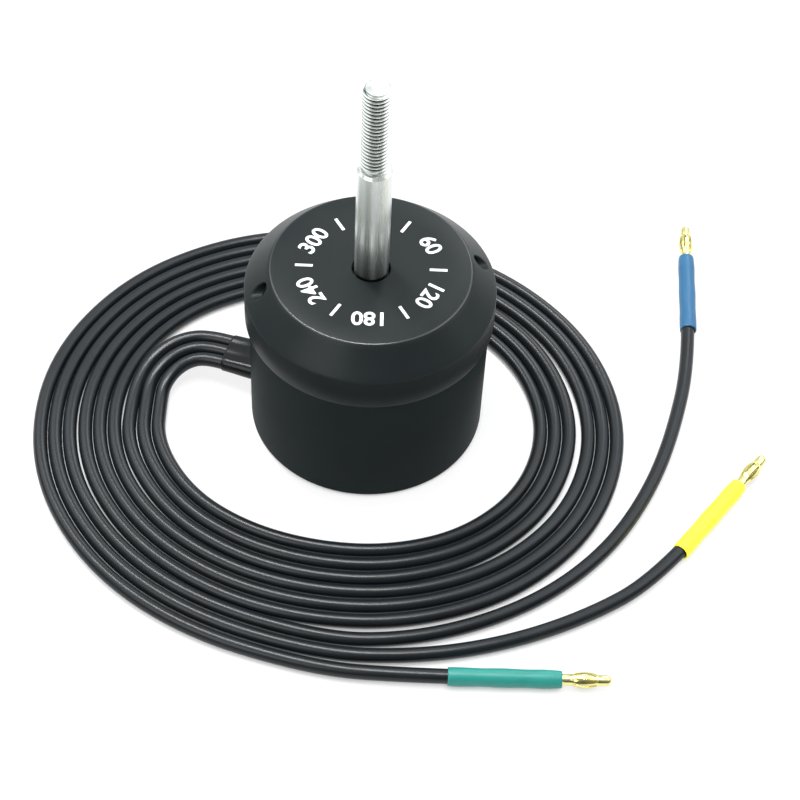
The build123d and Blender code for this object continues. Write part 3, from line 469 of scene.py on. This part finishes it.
cap_shells += [hole_in_bevel(0), hole_in_bevel(1)]
cap = new_piece("turned_cap", cap_shells, cap_finish)
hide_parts("front_cap")


# The degree scale on the cap's face: white pad-printed ink, a number every 60 degrees and a plain
# tick between them. It helps to set the shaft's angle, and sits 0.03 mm proud of the anodising.
INK_INNER, INK_OUTER, INK_RISE, TICK_HALF = 16.9, 22.0, 0.03, 0.45
DIGIT_SIZE, DIGIT_SWELL = 7.0, 0.13
ink_material, ink_tree, ink_place = start_material("white_pad_ink")
ink_speck = add_node(
    ink_tree, "ShaderNodeTexNoise", {"Scale": 1500.0, "Detail": 2.0}, {"Vector": ink_place}
)
ink_colour = add_node(
    ink_tree,
    "ShaderNodeMix",
    {6: linear("#d9dcdc"), 7: linear("#f2f4f4")},
    {0: ink_speck.outputs[0]},
    data_type="RGBA",
)
set_surface(ink_tree, {"Roughness": 0.5}, {"Base Color": ink_colour.outputs[2]})


def digit_shapes(text):
    """A number's flat outline in mm, x and y from its middle, and the faces that fill it."""
    words = bpy.data.curves.new("digits", "FONT")
    words.body, words.size, words.offset = text, DIGIT_SIZE, DIGIT_SWELL
    words.align_x, words.align_y = "CENTER", "CENTER"
    words.resolution_u = 6
    holder = bpy.data.objects.new("digits", words)
    studio.collection.objects.link(holder)
    bpy.context.view_layer.update()
    settled = holder.evaluated_get(bpy.context.evaluated_depsgraph_get())
    flat = bpy.data.meshes.new_from_object(settled)
    outline = np.zeros(3 * len(flat.vertices), np.float32)
    flat.vertices.foreach_get("co", outline)
    faces = [list(face.vertices) for face in flat.polygons]
    bpy.data.objects.remove(holder)
    return outline.reshape(-1, 3).astype(float)[:, :2], faces


tick_outline = np.array([(-TICK_HALF, 0), (-TICK_HALF, 1), (TICK_HALF, 1), (TICK_HALF, 0)])
tick_outline[:, 1] = (tick_outline[:, 1] - 0.5) * (INK_OUTER - INK_INNER)
ink_shells = []
for degrees in range(0, 360, 30):
    if degrees % 60 == 0:
        outline, faces = digit_shapes(str(degrees))
    else:
        outline, faces = tick_outline, [[0, 1, 2, 3]]
    clock = np.radians(90.0 - degrees)
    radial = np.array([np.cos(clock), np.sin(clock), 0])
    across = np.array([np.sin(clock), -np.cos(clock), 0])
    radius = (INK_INNER + INK_OUTER) / 2 + outline[:, 1:]
    ink_shells.append(
        (radial * radius + across * outline[:, :1] + [0, 0, CAP_TOP + INK_RISE], faces)
    )


def flat_ink(name, shells, material):
    """Joins flat ink shapes of any number of corners and gives them their thickness."""
    points, faces, count = [], [], 0
    for shell_points, shell_faces in shells:
        points.append(shell_points)
        faces += [[number + count for number in face] for face in shell_faces]
        count += len(shell_points)
    mesh = bpy.data.meshes.new(name)
    mesh.from_pydata((np.vstack(points) / 1000).tolist(), [], faces)
    mesh.materials.append(material)
    piece = bpy.data.objects.new(name, mesh)
    studio.collection.objects.link(piece)
    thick = piece.modifiers.new("ink_thickness", "SOLIDIFY")
    thick.thickness, thick.offset = INK_RISE / 1000, 0.0
    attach(piece, "housing")
    return piece


flat_ink("degree_scale", ink_shells, ink_material)


# The shell: extruded aluminium tube, turned smooth and anodised black, with a softened foot edge.
# Its thin neck carries the cap, and a screw rim inside its foot takes the rear cover's screws.
SHELL_COLUMNS, FOOT_EDGE = 256, 0.9
shell_finish = blasted_anodised("anodised_tube", "#1f2526", "#252b2c", 0.45, 0.014)
foot_turn = np.radians(np.linspace(-90, 0, 7))
shell_profile = np.array(
    [(33.0, 0.0)]
    + [(34.7 + FOOT_EDGE * np.cos(a), FOOT_EDGE + FOOT_EDGE * np.sin(a)) for a in foot_turn]
    + [(35.6, 22.0), (35.6, 43.1), (35.45, 43.25), (34.35, 43.25), (34.35, 49.95), (33.0, 49.95)]
    + [(33.0, 9.25), (25.8, 9.25), (25.8, 4.05), (33.0, 4.05)]
)
round_angles = np.linspace(0, 2 * np.pi, SHELL_COLUMNS, endpoint=False)
shell_grid = (
    ring_grid(shell_profile[:, 0], shell_profile[:, 1], round_angles),
    grid_faces(len(shell_profile), SHELL_COLUMNS, close_rows=True, close_columns=True),
)
shell = new_piece("motor_tube", [shell_grid], shell_finish)
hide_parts("shell")


# The shaft: ground stainless steel, 10 mm, with a turned shoulder and an M8 thread for the
# propeller's lock nut. The thread's flanks stand 0.68 mm deep at a pitch of 1.25 mm, and it runs
# out just above the shoulder.
SHAFT_END, END_FACE_R, SHAFT_NECK_R, THREAD_R, THREAD_ROOT, PITCH = 131.0, 3.4, 3.4, 4.0, 3.32, 1.25
THREAD_BASE, RUN_OUT_TURNS, THREAD_COLUMNS, THREAD_CLEAR, DARK_FOOT_TOP = 102.1, 1.2, 96, 103.5, 83.0
# VALLEY_R and CREST_R bound the painted shade in the thread's valleys, MOUTH_SHADE the painted
# shade in the cap's mouth.
VALLEY_R, CREST_R, END_FACE_RIM, MOUTH_SHADE = 0.0035, 0.00395, 0.0007, 0.0002  # metres
# How the steel darkens towards the shaft's foot, from the cap up to 83 mm.
DARK_FOOT_LEAST, DARK_FOOT_POWERS = 0.3, (1.5, 0.1)


def valleys_and_grease(tree, place, streaks, colour, root):
    """A shaft's colour, mixed with root by the product of two shares that are 1 on bright steel.

    The first falls with the radius below CREST_R, in the thread's valleys, from THREAD_CLEAR up to
    the end face: painted shade, with some cutting oil, in the valleys. The second is 0 in the cap's
    mouth, painted shade there, and then rises over the foot up to 83 mm, so that the steel is
    darker towards the cap, to a power that the streaks set.
    """
    radius, height = from_axis(tree, place)
    crest = add_node(
        tree, "ShaderNodeMapRange", {"From Min": VALLEY_R, "From Max": CREST_R}, {"Value": radius}
    )
    end_face = add_node(
        tree,
        "ShaderNodeMath",
        {1: SHAFT_END / 1000 - END_FACE_RIM},
        {0: height},
        operation="GREATER_THAN",
    )
    below = add_node(
        tree, "ShaderNodeMath", {1: THREAD_CLEAR / 1000}, {0: height}, operation="LESS_THAN"
    )
    outside = add_node(
        tree,
        "ShaderNodeMath",
        links={0: crest.outputs[0], 1: end_face.outputs[0]},
        operation="MAXIMUM",
    )
    unthreaded = add_node(
        tree,
        "ShaderNodeMath",
        links={0: outside.outputs[0], 1: below.outputs[0]},
        operation="MAXIMUM",
    )
    out_of_mouth = add_node(
        tree,
        "ShaderNodeMath",
        {1: CAP_TOP / 1000 + MOUTH_SHADE},
        {0: height},
        operation="GREATER_THAN",
    )
    foot_ramp = add_node(
        tree,
        "ShaderNodeMapRange",
        {"From Min": CAP_TOP / 1000, "From Max": DARK_FOOT_TOP / 1000, "To Min": DARK_FOOT_LEAST},
        {"Value": height},
    )
    uneven = add_node(
        tree,
        "ShaderNodeMapRange",
        {"To Min": DARK_FOOT_POWERS[0], "To Max": DARK_FOOT_POWERS[1]},
        {"Value": streaks.outputs[0]},
    )
    streaky = add_node(
        tree,
        "ShaderNodeMath",
        links={0: foot_ramp.outputs[0], 1: uneven.outputs[0]},
        operation="POWER",
    )
    mouth_and_foot_share = add_node(
        tree,
        "ShaderNodeMath",
        links={0: streaky.outputs[0], 1: out_of_mouth.outputs[0]},
        operation="MULTIPLY",
    )
    bright = add_node(
        tree,
        "ShaderNodeMath",
        links={0: unthreaded.outputs[0], 1: mouth_and_foot_share.outputs[0]},
        operation="MULTIPLY",
    )
    return add_node(
        tree,
        "ShaderNodeMix",
        {6: linear(root)},
        {0: bright.outputs[0], 7: colour.outputs[2]},
        data_type="RGBA",
    )


def ground_steel(name, dark, pale, roughness, metallic=1.0, root=None):
    """Ground steel: streaks about 2 mm wide run along the axis and change its tone and gloss.

    The grinding lines themselves, 0.01 mm apart, are too fine to show, so these coarser streaks
    stand for them. With root, that colour is painted shade in the thread's valleys and the cap's
    mouth, and the steel darkens towards it at the shaft's foot.
    """
    material, tree, place = start_material(name)
    length = add_node(
        tree, "ShaderNodeMapping", {"Scale": (420.0, 420.0, 3.0)}, {"Vector": place}
    )
    streaks = add_node(
        tree, "ShaderNodeTexNoise", {"Scale": 1.0, "Detail": 0.0}, {"Vector": length.outputs[0]}
    )
    spread = add_node(
        tree,
        "ShaderNodeMapRange",
        {"From Min": 0.25, "From Max": 0.75},
        {"Value": streaks.outputs[0]},
    )
    colour = add_node(
        tree,
        "ShaderNodeMix",
        {6: linear(dark), 7: linear(pale)},
        {0: spread.outputs[0]},
        data_type="RGBA",
    )
    if root:
        colour = valleys_and_grease(tree, place, spread, colour, root)
    rough = add_node(
        tree,
        "ShaderNodeMapRange",
        {"To Min": roughness - 0.05, "To Max": roughness + 0.07},
        {"Value": streaks.outputs[0]},
    )
    links = {"Base Color": colour.outputs[2], "Roughness": rough.outputs[0]}
    set_surface(tree, {"Metallic": metallic}, links)
    return material


# 343937 is painted shade in the thread's valleys and the cap's mouth, and the tone the foot darkens
# towards.
shaft_finish = ground_steel("ground_stainless", "#bcc4bd", "#f2f5f2", 0.26, 0.76, "#343937")
shaft_profile = np.array(
    [(0, 3.0), (5.0, 3.0), (5.0, 4.58), (4.55, 4.58), (4.55, 5.62), (5.0, 5.62), (5.0, 60.2)]
    + [(4.65, 60.2), (4.65, 62.0), (5.0, 62.0), (5.0, 80.0), (5.0, 101.3), (4.3, 102.0)]
    + [(SHAFT_NECK_R, 102.0), (SHAFT_NECK_R, 102.3)]
)

# The thread: over one turn of the helix each row of points keeps its radius and climbs by the
# pitch. The rows come in fours, at the foot and the top of both flanks. The radius grows from the
# shaft's neck over the run-out, and the chamfer at the end face cuts it off.
thread_angles = np.linspace(0, 2 * np.pi, THREAD_COLUMNS + 1)
turns = int((SHAFT_END - THREAD_BASE) / PITCH) + 2
tooth_rise, tooth_height = np.array([(0.0, 0.0), (0.12, 0.0), (0.5, 1.0), (0.62, 1.0)]).T
rise = (np.arange(-1, turns)[:, None] + tooth_rise).ravel() * PITCH
height = np.tile(tooth_height, turns + 1)
thread_z = THREAD_BASE + rise[:, None] + PITCH * thread_angles / (2 * np.pi)
thread_r = THREAD_ROOT + (THREAD_R - THREAD_ROOT) * height[:, None] + 0 * thread_z
run_out = np.clip((thread_z - THREAD_BASE) / (RUN_OUT_TURNS * PITCH), 0, 1)
thread_r = SHAFT_NECK_R + (thread_r - SHAFT_NECK_R) * run_out
thread_z = np.clip(thread_z, THREAD_BASE, SHAFT_END)
thread_r = np.minimum(thread_r, SHAFT_END - thread_z + END_FACE_R)
thread_points = np.stack(
    [thread_r * np.cos(thread_angles), thread_r * np.sin(thread_angles), thread_z], -1
)
shaft_shells = [
    (
        ring_grid(shaft_profile[:, 0], shaft_profile[:, 1], thread_angles[:-1]),
        grid_faces(len(shaft_profile), THREAD_COLUMNS, close_columns=True),
    ),
    (thread_points, grid_faces(len(thread_r), THREAD_COLUMNS + 1)),
    (
        ring_grid([END_FACE_R, 2.0, 0.0], [SHAFT_END] * 3, thread_angles[:-1]),
        grid_faces(3, THREAD_COLUMNS, close_columns=True),
    ),
]
shaft = new_piece("threaded_shaft", shaft_shells, shaft_finish, "rotor", 25.0)
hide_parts("shaft")


# The leads: three soft copper leads in black silicone, 4.3 mm thick and about 1.16 m long. Limp,
# they lie flat side by side in two laps and a fifth round the motor, and then fan out to their
# connectors.
LEAD_R, LEAD_SPACING, LEAD_ANGLE, BOOT_END, LEAD_EXIT_Z = 2.15, 4.4, np.radians(163.5), 46.0, 7.0
COIL_LAPS, STEPS_PER_LAP, COIL_R, COIL_GROWTH, COIL_DRIFT = 2.2, 15, 54.6, 14.1, 0.6
COIL_CENTRE, COIL_OVAL = (-8.5, -8.6), (4.8, -1.2)
COIL_PITCH, COIL_FAN, COIL_EXIT_RUN = 4.42, 0.6, 22.0
CONNECTOR_Z, LEAD_IN_SLEEVE, SLEEVE_RUN_UP = 2.76, 12.0, 13.0
LEAD_ROUTES = {
    "blue": {
        "place": -1,
        "root_runs": (5.3, 5.3),
        "root": [(-55.73, 9.57, 6.24), (-60.17, 6.62, 4.58), (-62.94, 2.06, 2.91)],
        "tail": [
            (14.5, -87.6),
            (37.2, -80.6),
            (57.0, -69.2),
            (73.9, -52.6),
            (86.3, -31.9),
            (94.9, -9.2),
        ],
        "mouth": (102.6, 33.0, 87.2),
        "length": 1.1645,
    },
    "yellow": {
        "place": 0,
        "root_runs": (6.8, 6.8),
        "root": [(-57.32, 14.08, 6.24), (-63.06, 10.49, 4.57), (-66.83, 4.86, 2.91)],
        "tail": [(16.0, -93.3), (40.8, -88.3), (64.6, -78.4)],
        "mouth": (94.0, -54.3, 52.5),
        "length": 1.1647,
    },
    "green": {
        "place": 1,
        "root_runs": (7.9, 6.1),
        "root": [(-58.31, 18.55, 6.36), (-65.12, 14.48, 4.89), (-69.72, 8.03, 3.29)],
        "tail": [],
        "mouth": (25.5, -99.8, 0.5),
        "length": 1.1572,
    },
}


def coil_middle(laps):
    """The middle lead's place in the coil after so many laps: an oval spiral round the motor.

    Its radius grows evenly with the laps, and swells and shrinks twice a lap. Its centre drifts.
    """
    angle = np.pi + 2 * np.pi * laps
    radius = COIL_R + COIL_GROWTH * laps
    radius += COIL_OVAL[0] * np.cos(2 * angle) + COIL_OVAL[1] * np.sin(2 * angle)
    centre = np.array(COIL_CENTRE) + COIL_DRIFT * laps * np.array([1, -1])
    return centre + radius * np.array([np.cos(angle), np.sin(angle)])


def lead_centre(laps, place):
    """A lead's place and heading in the coil, with place -1, 0 or 1 across the row of three.

    The row stands square to the heading, and fans out a little on the viewer's side.
    """
    here, ahead_of = coil_middle(laps), coil_middle(laps + 0.001)
    heading = (ahead_of - here) / np.linalg.norm(ahead_of - here)
    pitch = COIL_PITCH + COIL_FAN * max(0.0, -np.sin(np.pi + 2 * np.pi * laps)) ** 2
    return here + place * pitch * np.array([heading[1], -heading[0]]), heading


def coil_corners(place):
    """Where the tangents at neighbouring steps of the spiral cross, so the curve touches each."""
    corners = []
    for step in range(round(COIL_LAPS * STEPS_PER_LAP)):
        here, way_here = lead_centre(step / STEPS_PER_LAP, place)
        there, way_there = lead_centre((step + 1) / STEPS_PER_LAP, place)
        run = np.linalg.solve(np.array([way_here, way_there]).T, there - here)[0]
        corners.append((*(here + run * way_here), LEAD_R))
    return corners


def sleeve_line(route):
    """A sleeve's mouth and heading, from its x and y and its angle in degrees."""
    x, y, angle = route["mouth"]
    way = np.array([np.cos(np.radians(angle)), np.sin(np.radians(angle)), 0])
    return np.array([x, y, CONNECTOR_Z]), way


def silicone(name, dark, pale):
    """Extruded silicone rubber: satin, with a faint bloom of talc that varies every 10 mm or so.

    The skin's own texture is too fine to show, so a faint unevenness of 1.2 mm stands for it.
    """
    material, tree, place = start_material(name)
    bloom = add_node(
        tree, "ShaderNodeTexNoise", {"Scale": 90.0, "Detail": 5.0}, {"Vector": place}
    )
    skin = add_node(
        tree, "ShaderNodeTexNoise", {"Scale": 800.0, "Detail": 1.0}, {"Vector": place}
    )
    links = mottled_links(tree, (dark, pale), (0.27, 0.34), bloom, (0.03, 0.00005), skin)
    set_surface(tree, {"Specular IOR Level": 0.33}, links)
    return material


lead_finish = silicone("black_silicone", "#0c1114", "#151a1e")
boot_out = np.array([np.cos(LEAD_ANGLE), np.sin(LEAD_ANGLE), 0])
boot_along = np.array([-np.sin(LEAD_ANGLE), np.cos(LEAD_ANGLE), 0])
leads = {}
for colour_name, route in LEAD_ROUTES.items():
    lead_start = boot_out * BOOT_END - boot_along * route["place"] * LEAD_SPACING
    lead_start = lead_start + [0, 0, LEAD_EXIT_Z]
    coil_in, heading_in = lead_centre(0.0, route["place"])
    coil_out, heading_out = lead_centre(COIL_LAPS, route["place"])
    sleeve_mouth, sleeve_way = sleeve_line(route)
    run_out_of_boot, run_into_coil = route["root_runs"]
    corners = [lead_start, lead_start + boot_out * run_out_of_boot, *route["root"]]
    corners.append((*(coil_in - heading_in * run_into_coil), LEAD_R))
    corners += coil_corners(route["place"])
    corners.append((*(coil_out + heading_out * COIL_EXIT_RUN), LEAD_R))
    corners += [(x, y, LEAD_R) for x, y in route["tail"]]
    corners.append(sleeve_mouth - SLEEVE_RUN_UP * sleeve_way)
    corners.append(sleeve_mouth + LEAD_IN_SLEEVE * sleeve_way)
    path = bpy.data.curves.new(f"lead_{colour_name}", "CURVE")
    path.dimensions = "3D"
    path.bevel_depth = LEAD_R / 1000
    path.bevel_resolution = 8
    path.use_fill_caps = True
    line = path.splines.new("NURBS")
    line.points.add(len(corners) - 1)
    line.points.foreach_set("co", np.array([(*np.array(p) / 1000, 1.0) for p in corners]).ravel())
    line.order_u = 3
    line.use_endpoint_u = True
    line.resolution_u = 10
    path.materials.append(lead_finish)
    lead = bpy.data.objects.new(f"lead_{colour_name}", path)
    studio.collection.objects.link(lead)
    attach(lead, "housing")
    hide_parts(f"lead_{colour_name}_root", "lead_coil", f"lead_{colour_name}_tail")
    leads[colour_name] = (lead, lead_start / 1000, route["length"])


# The boot: heat-shrink sleeve over all three leads where they leave the shell, drawn tight so that
# each lead shows as a rounded rib, and glued against the shell.
BOOT_START, BOOT_WALL, BOOT_THINNING, BOOT_WAIST = 35.0, 0.6, 0.3, 0.12
BOOT_SQUARENESS, BOOT_COLUMNS = 0.55, 144
BOOT_GRIPS = (  # distance from the shaft's axis in mm, share of the way to a tight grip
    (BOOT_START, 0.0),
    (36.4, 0.05),
    (38.0, 0.2),
    (40.0, 0.5),
    (42.0, 0.75),
    (44.0, 0.95),
    (45.2, 1.0),
)
BOOT_LIP = (  # distance from the shaft's axis in mm, share of the full ring
    (45.7, 0.96),
    (45.93, 0.9),
    (BOOT_END, 0.82),
    (BOOT_END, 0.5),
    (BOOT_END, 0.0),
)


def shrunk_plastic(name, dark, pale, roughness, specular, unevenness=0.3):
    """Heat-shrunk polyolefin: smooth and slightly uneven, with a soft skin about 1.4 mm across."""
    material, tree, place = start_material(name)
    skin = add_node(
        tree, "ShaderNodeTexNoise", {"Scale": 700.0, "Detail": 3.0}, {"Vector": place}
    )
    shade = add_node(
        tree, "ShaderNodeTexNoise", {"Scale": 160.0, "Detail": 2.0}, {"Vector": place}
    )
    gloss = (roughness - 0.06, roughness + 0.08)
    links = mottled_links(tree, (dark, pale), gloss, shade, (unevenness, 0.0001), skin)
    set_surface(tree, {"Specular IOR Level": specular}, links)
    return material


boot_finish = shrunk_plastic("black_heat_shrink", "#0a0c0d", "#0e1213", 0.24, 0.25, 0.08)

# Each ring runs flat along the row of leads and round past the outer two. Halfway between the
# leads it has a waist, which grows with the grip as the cosine of the way across.
boot_clock = np.linspace(0, 2 * np.pi, BOOT_COLUMNS, endpoint=False)
squared = np.sign(np.cos(boot_clock)) * np.abs(np.cos(boot_clock)) ** BOOT_SQUARENESS
rings = [(BOOT_START, 0 * squared, 0 * squared)]
for reach, grip in BOOT_GRIPS:
    wall = LEAD_R + BOOT_WALL - BOOT_THINNING * grip
    lobe_u = (LEAD_SPACING + wall) * squared
    past_lead = np.maximum(np.abs(lobe_u) - LEAD_SPACING, 0) / wall
    dip = (1 - np.cos(2 * np.pi * lobe_u / LEAD_SPACING)) / 2 * (np.abs(lobe_u) < LEAD_SPACING)
    lobe_v = wall * np.sqrt(np.clip(1 - past_lead**2, 0, 1)) * np.sign(np.sin(boot_clock))
    rings.append((reach, lobe_u, lobe_v * (1 - BOOT_WAIST * grip * dip)))
_, lobe_u, lobe_v = rings[-1]
rings += [(reach, lobe_u * swell, lobe_v * swell) for reach, swell in BOOT_LIP]
boot_points = np.array(
    [boot_out * reach + boot_along * u[:, None] + [0, 0, LEAD_EXIT_Z] for reach, u, _ in rings]
)
boot_points[..., 2] += np.array([v for _, _, v in rings])
boot_faces = grid_faces(len(rings), BOOT_COLUMNS, close_columns=True)
boot = new_piece(
    "shrink_boot", [(boot_points, boot_faces)], boot_finish, sharp=50.0
)
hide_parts("lead_boot")


# The connectors: gold-plated bullet pins soldered to the leads, under coloured heat-shrink that
# marks the phase. Each pin is turned brass with a waist, and a slotted lantern spring of thin
# strips bulges round it to grip the socket.
SLEEVE_R, SLEEVE_TAPER, NECK_R, TIP_R = 2.72, 0.18, 1.6, 1.35
SPRING_START, SPRING_LENGTH, SPRING_R, SPRING_BULGE = 35.1, 7.0, 1.62, 0.66
STRIP_WALL, STRIP_HALF, STRIP_TWIST, STRIP_ROWS = 0.22, 15, 0.35, 13


def gold_plate(name, dark, pale):
    """Polished gold plate over turned brass: bright, with faint wear about 1 mm across."""
    material, tree, place = start_material(name)
    wear = add_node(
        tree, "ShaderNodeTexNoise", {"Scale": 900.0, "Detail": 4.0}, {"Vector": place}
    )
    links = mottled_links(tree, (dark, pale), (0.12, 0.26), wear, (0.1, 0.00003), wear)
    set_surface(tree, {"Metallic": 1.0}, links)
    return material


gold_finish = gold_plate("gold_plated_brass", "#e4da80", "#faf3b2")
sleeve_finishes = {
    "blue": shrunk_plastic("blue_heat_shrink", "#1c5379", "#266086", 0.4, 0.4),
    "yellow": shrunk_plastic("yellow_heat_shrink", "#f2ee1e", "#fdf93c", 0.4, 0.4),
    "green": shrunk_plastic("green_heat_shrink", "#1a756c", "#228379", 0.4, 0.4),
}


def beside_line(profile_along, profile_r, mouth, way, segments=48, bend=0.0):
    """A turned surface along a sleeve's line.

    Each profile point is a distance from the mouth and a radius. With bend, the radius waves by
    that share, three times round and slowly along.
    """
    clock = np.linspace(0, 2 * np.pi, segments, endpoint=False)
    side = np.array([-way[1], way[0], 0])
    along = np.asarray(profile_along, float)[:, None]
    radius = np.asarray(profile_r, float)[:, None]
    radius = radius * (1 + bend * np.sin(3 * clock + along) * np.sin(0.7 * along))
    points = mouth + along[..., None] * way + (radius * np.cos(clock))[..., None] * side
    points[..., 2] += radius * np.sin(clock)
    return points, grid_faces(len(along), segments, close_columns=True)


sleeve_steps = np.linspace(0.5, 31.5, 32)
sleeve_along = [0.0, 0.0, 0.15, *sleeve_steps, 31.85, 32.0, 32.0, 25.0, 6.0, 0.0]
sleeve_middle_r = SLEEVE_R - 0.08 + 0.06 * np.sin(sleeve_steps * 0.5)
sleeve_middle_r -= SLEEVE_TAPER * np.clip((sleeve_steps - 27.0) / 5.0, 0, 1)
sleeve_radii = [2.2, 2.5, 2.62, *sleeve_middle_r, 2.44, 2.36, 2.17, 2.17, 2.17, 2.2]
tip_turn = np.radians([0, 20, 40, 60, 80])
pin_profile = np.array(
    [(12.05, 0.0), (12.05, 2.1), (31.4, 2.1), (32.0, 1.9), (32.3, 1.62), (32.6, NECK_R)]
    + [(34.6, NECK_R), (34.9, 1.72), (35.05, 1.72), (35.1, 1.15), (42.1, 1.15), (42.12, 1.5)]
    + [(42.3, 1.55), (43.9, 1.55)]
    + [(44.7 + TIP_R * np.sin(a), 0.2 + TIP_R * np.cos(a)) for a in tip_turn]
    + [(46.05, 0.0)]
)
reach = np.linspace(0, 1, STRIP_ROWS)
bulge = SPRING_R + SPRING_BULGE * np.sin(np.pi * reach) ** 0.8
strip_turn = np.radians(np.linspace(-STRIP_HALF, STRIP_HALF, 4)) + STRIP_TWIST * reach[:, None]
for colour_name, route in LEAD_ROUTES.items():
    mouth, way = sleeve_line(route)
    sleeve = new_piece(
        f"shrink_sleeve_{colour_name}",
        [beside_line(sleeve_along, sleeve_radii, mouth, way, 56, 0.006)],
        sleeve_finishes[colour_name],
        sharp=60.0,
    )
    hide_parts(f"sleeve_{colour_name}")
    pin_shell = beside_line(pin_profile[:, 0], pin_profile[:, 1], mouth, way)
    pin = new_piece(f"bullet_{colour_name}", [pin_shell], gold_finish, sharp=40.0)
    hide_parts(f"bullet_pin_{colour_name}")

    # Eight thin strips, each an outer and an inner wall, between two collars.
    side = np.array([-way[1], way[0], 0])
    spring_line = mouth + (SPRING_START + SPRING_LENGTH * reach)[:, None, None] * way
    spring_shells = []
    for strip_degrees in range(0, 360, 45):
        clock = np.radians(strip_degrees) + strip_turn
        walls = []
        for radius in (bulge[:, None], bulge[:, None] - STRIP_WALL):
            wall = spring_line + (radius * np.cos(clock))[..., None] * side
            wall[..., 2] += radius * np.sin(clock)
            walls.append(wall)
        strip = np.concatenate([walls[0], walls[1][:, ::-1]], 1)
        spring_shells.append((strip, grid_faces(STRIP_ROWS, 8, close_columns=True)))
    for first, last in ((0.02, 0.9), (6.1, 6.98)):
        collar = SPRING_START + np.array([first, first, last, last, first])
        spring_shells.append(beside_line(collar, [1.4, 1.66, 1.66, 1.4, 1.4], mouth, way))
    spring_name = f"lantern_spring_{colour_name}"
    spring = new_piece(spring_name, spring_shells, gold_finish, sharp=45.0)
    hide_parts(f"bullet_spring_{colour_name}")

    lead, exit_point, length = leads[colour_name]


# The pieces that the housing hides keep their solids: bearings, seal, stator, windings, rotor,
# screws and O-rings. Each takes the finish of its material slot.
inside_finishes = {
    "shell_black": shell_finish,
    "steel": ground_steel("turned_steel", "#7d7f82", "#a2a4a6", 0.34),
    "spring_steel": ground_steel("spring_steel", "#6e7072", "#8e9092", 0.36),
    "bearing_steel": ground_steel("bearing_steel", "#b4b6b8", "#d0d2d4", 0.16),
    "core_steel": ground_steel("core_laminations", "#4c4e52", "#65686c", 0.45),
    "magnet_nickel": ground_steel("nickel_plate", "#a4a5a4", "#bdbebd", 0.26),
    "winding_copper": gold_plate("enamelled_copper", "#8f4a22", "#b5642f"),
    "insulator_resin": shrunk_plastic("insulating_resin", "#2b5f8c", "#356d9c", 0.5, 0.4),
    "seal_rubber": silicone("nitrile_rubber", "#0d0e0e", "#151616"),
    "silicone_black": lead_finish,
    "potting_resin": shrunk_plastic("potting_resin", "#0a0b0c", "#101214", 0.2, 0.5),
}
slots_of_nodes = {part["node"]: part["material_slot"] for part in frame["record"]["subparts"]}
for node_name, solid in frame["nodes"].items():
    if not solid.hide_render:
        solid.data.materials.clear()
        solid.data.materials.append(inside_finishes[slots_of_nodes[node_name]])
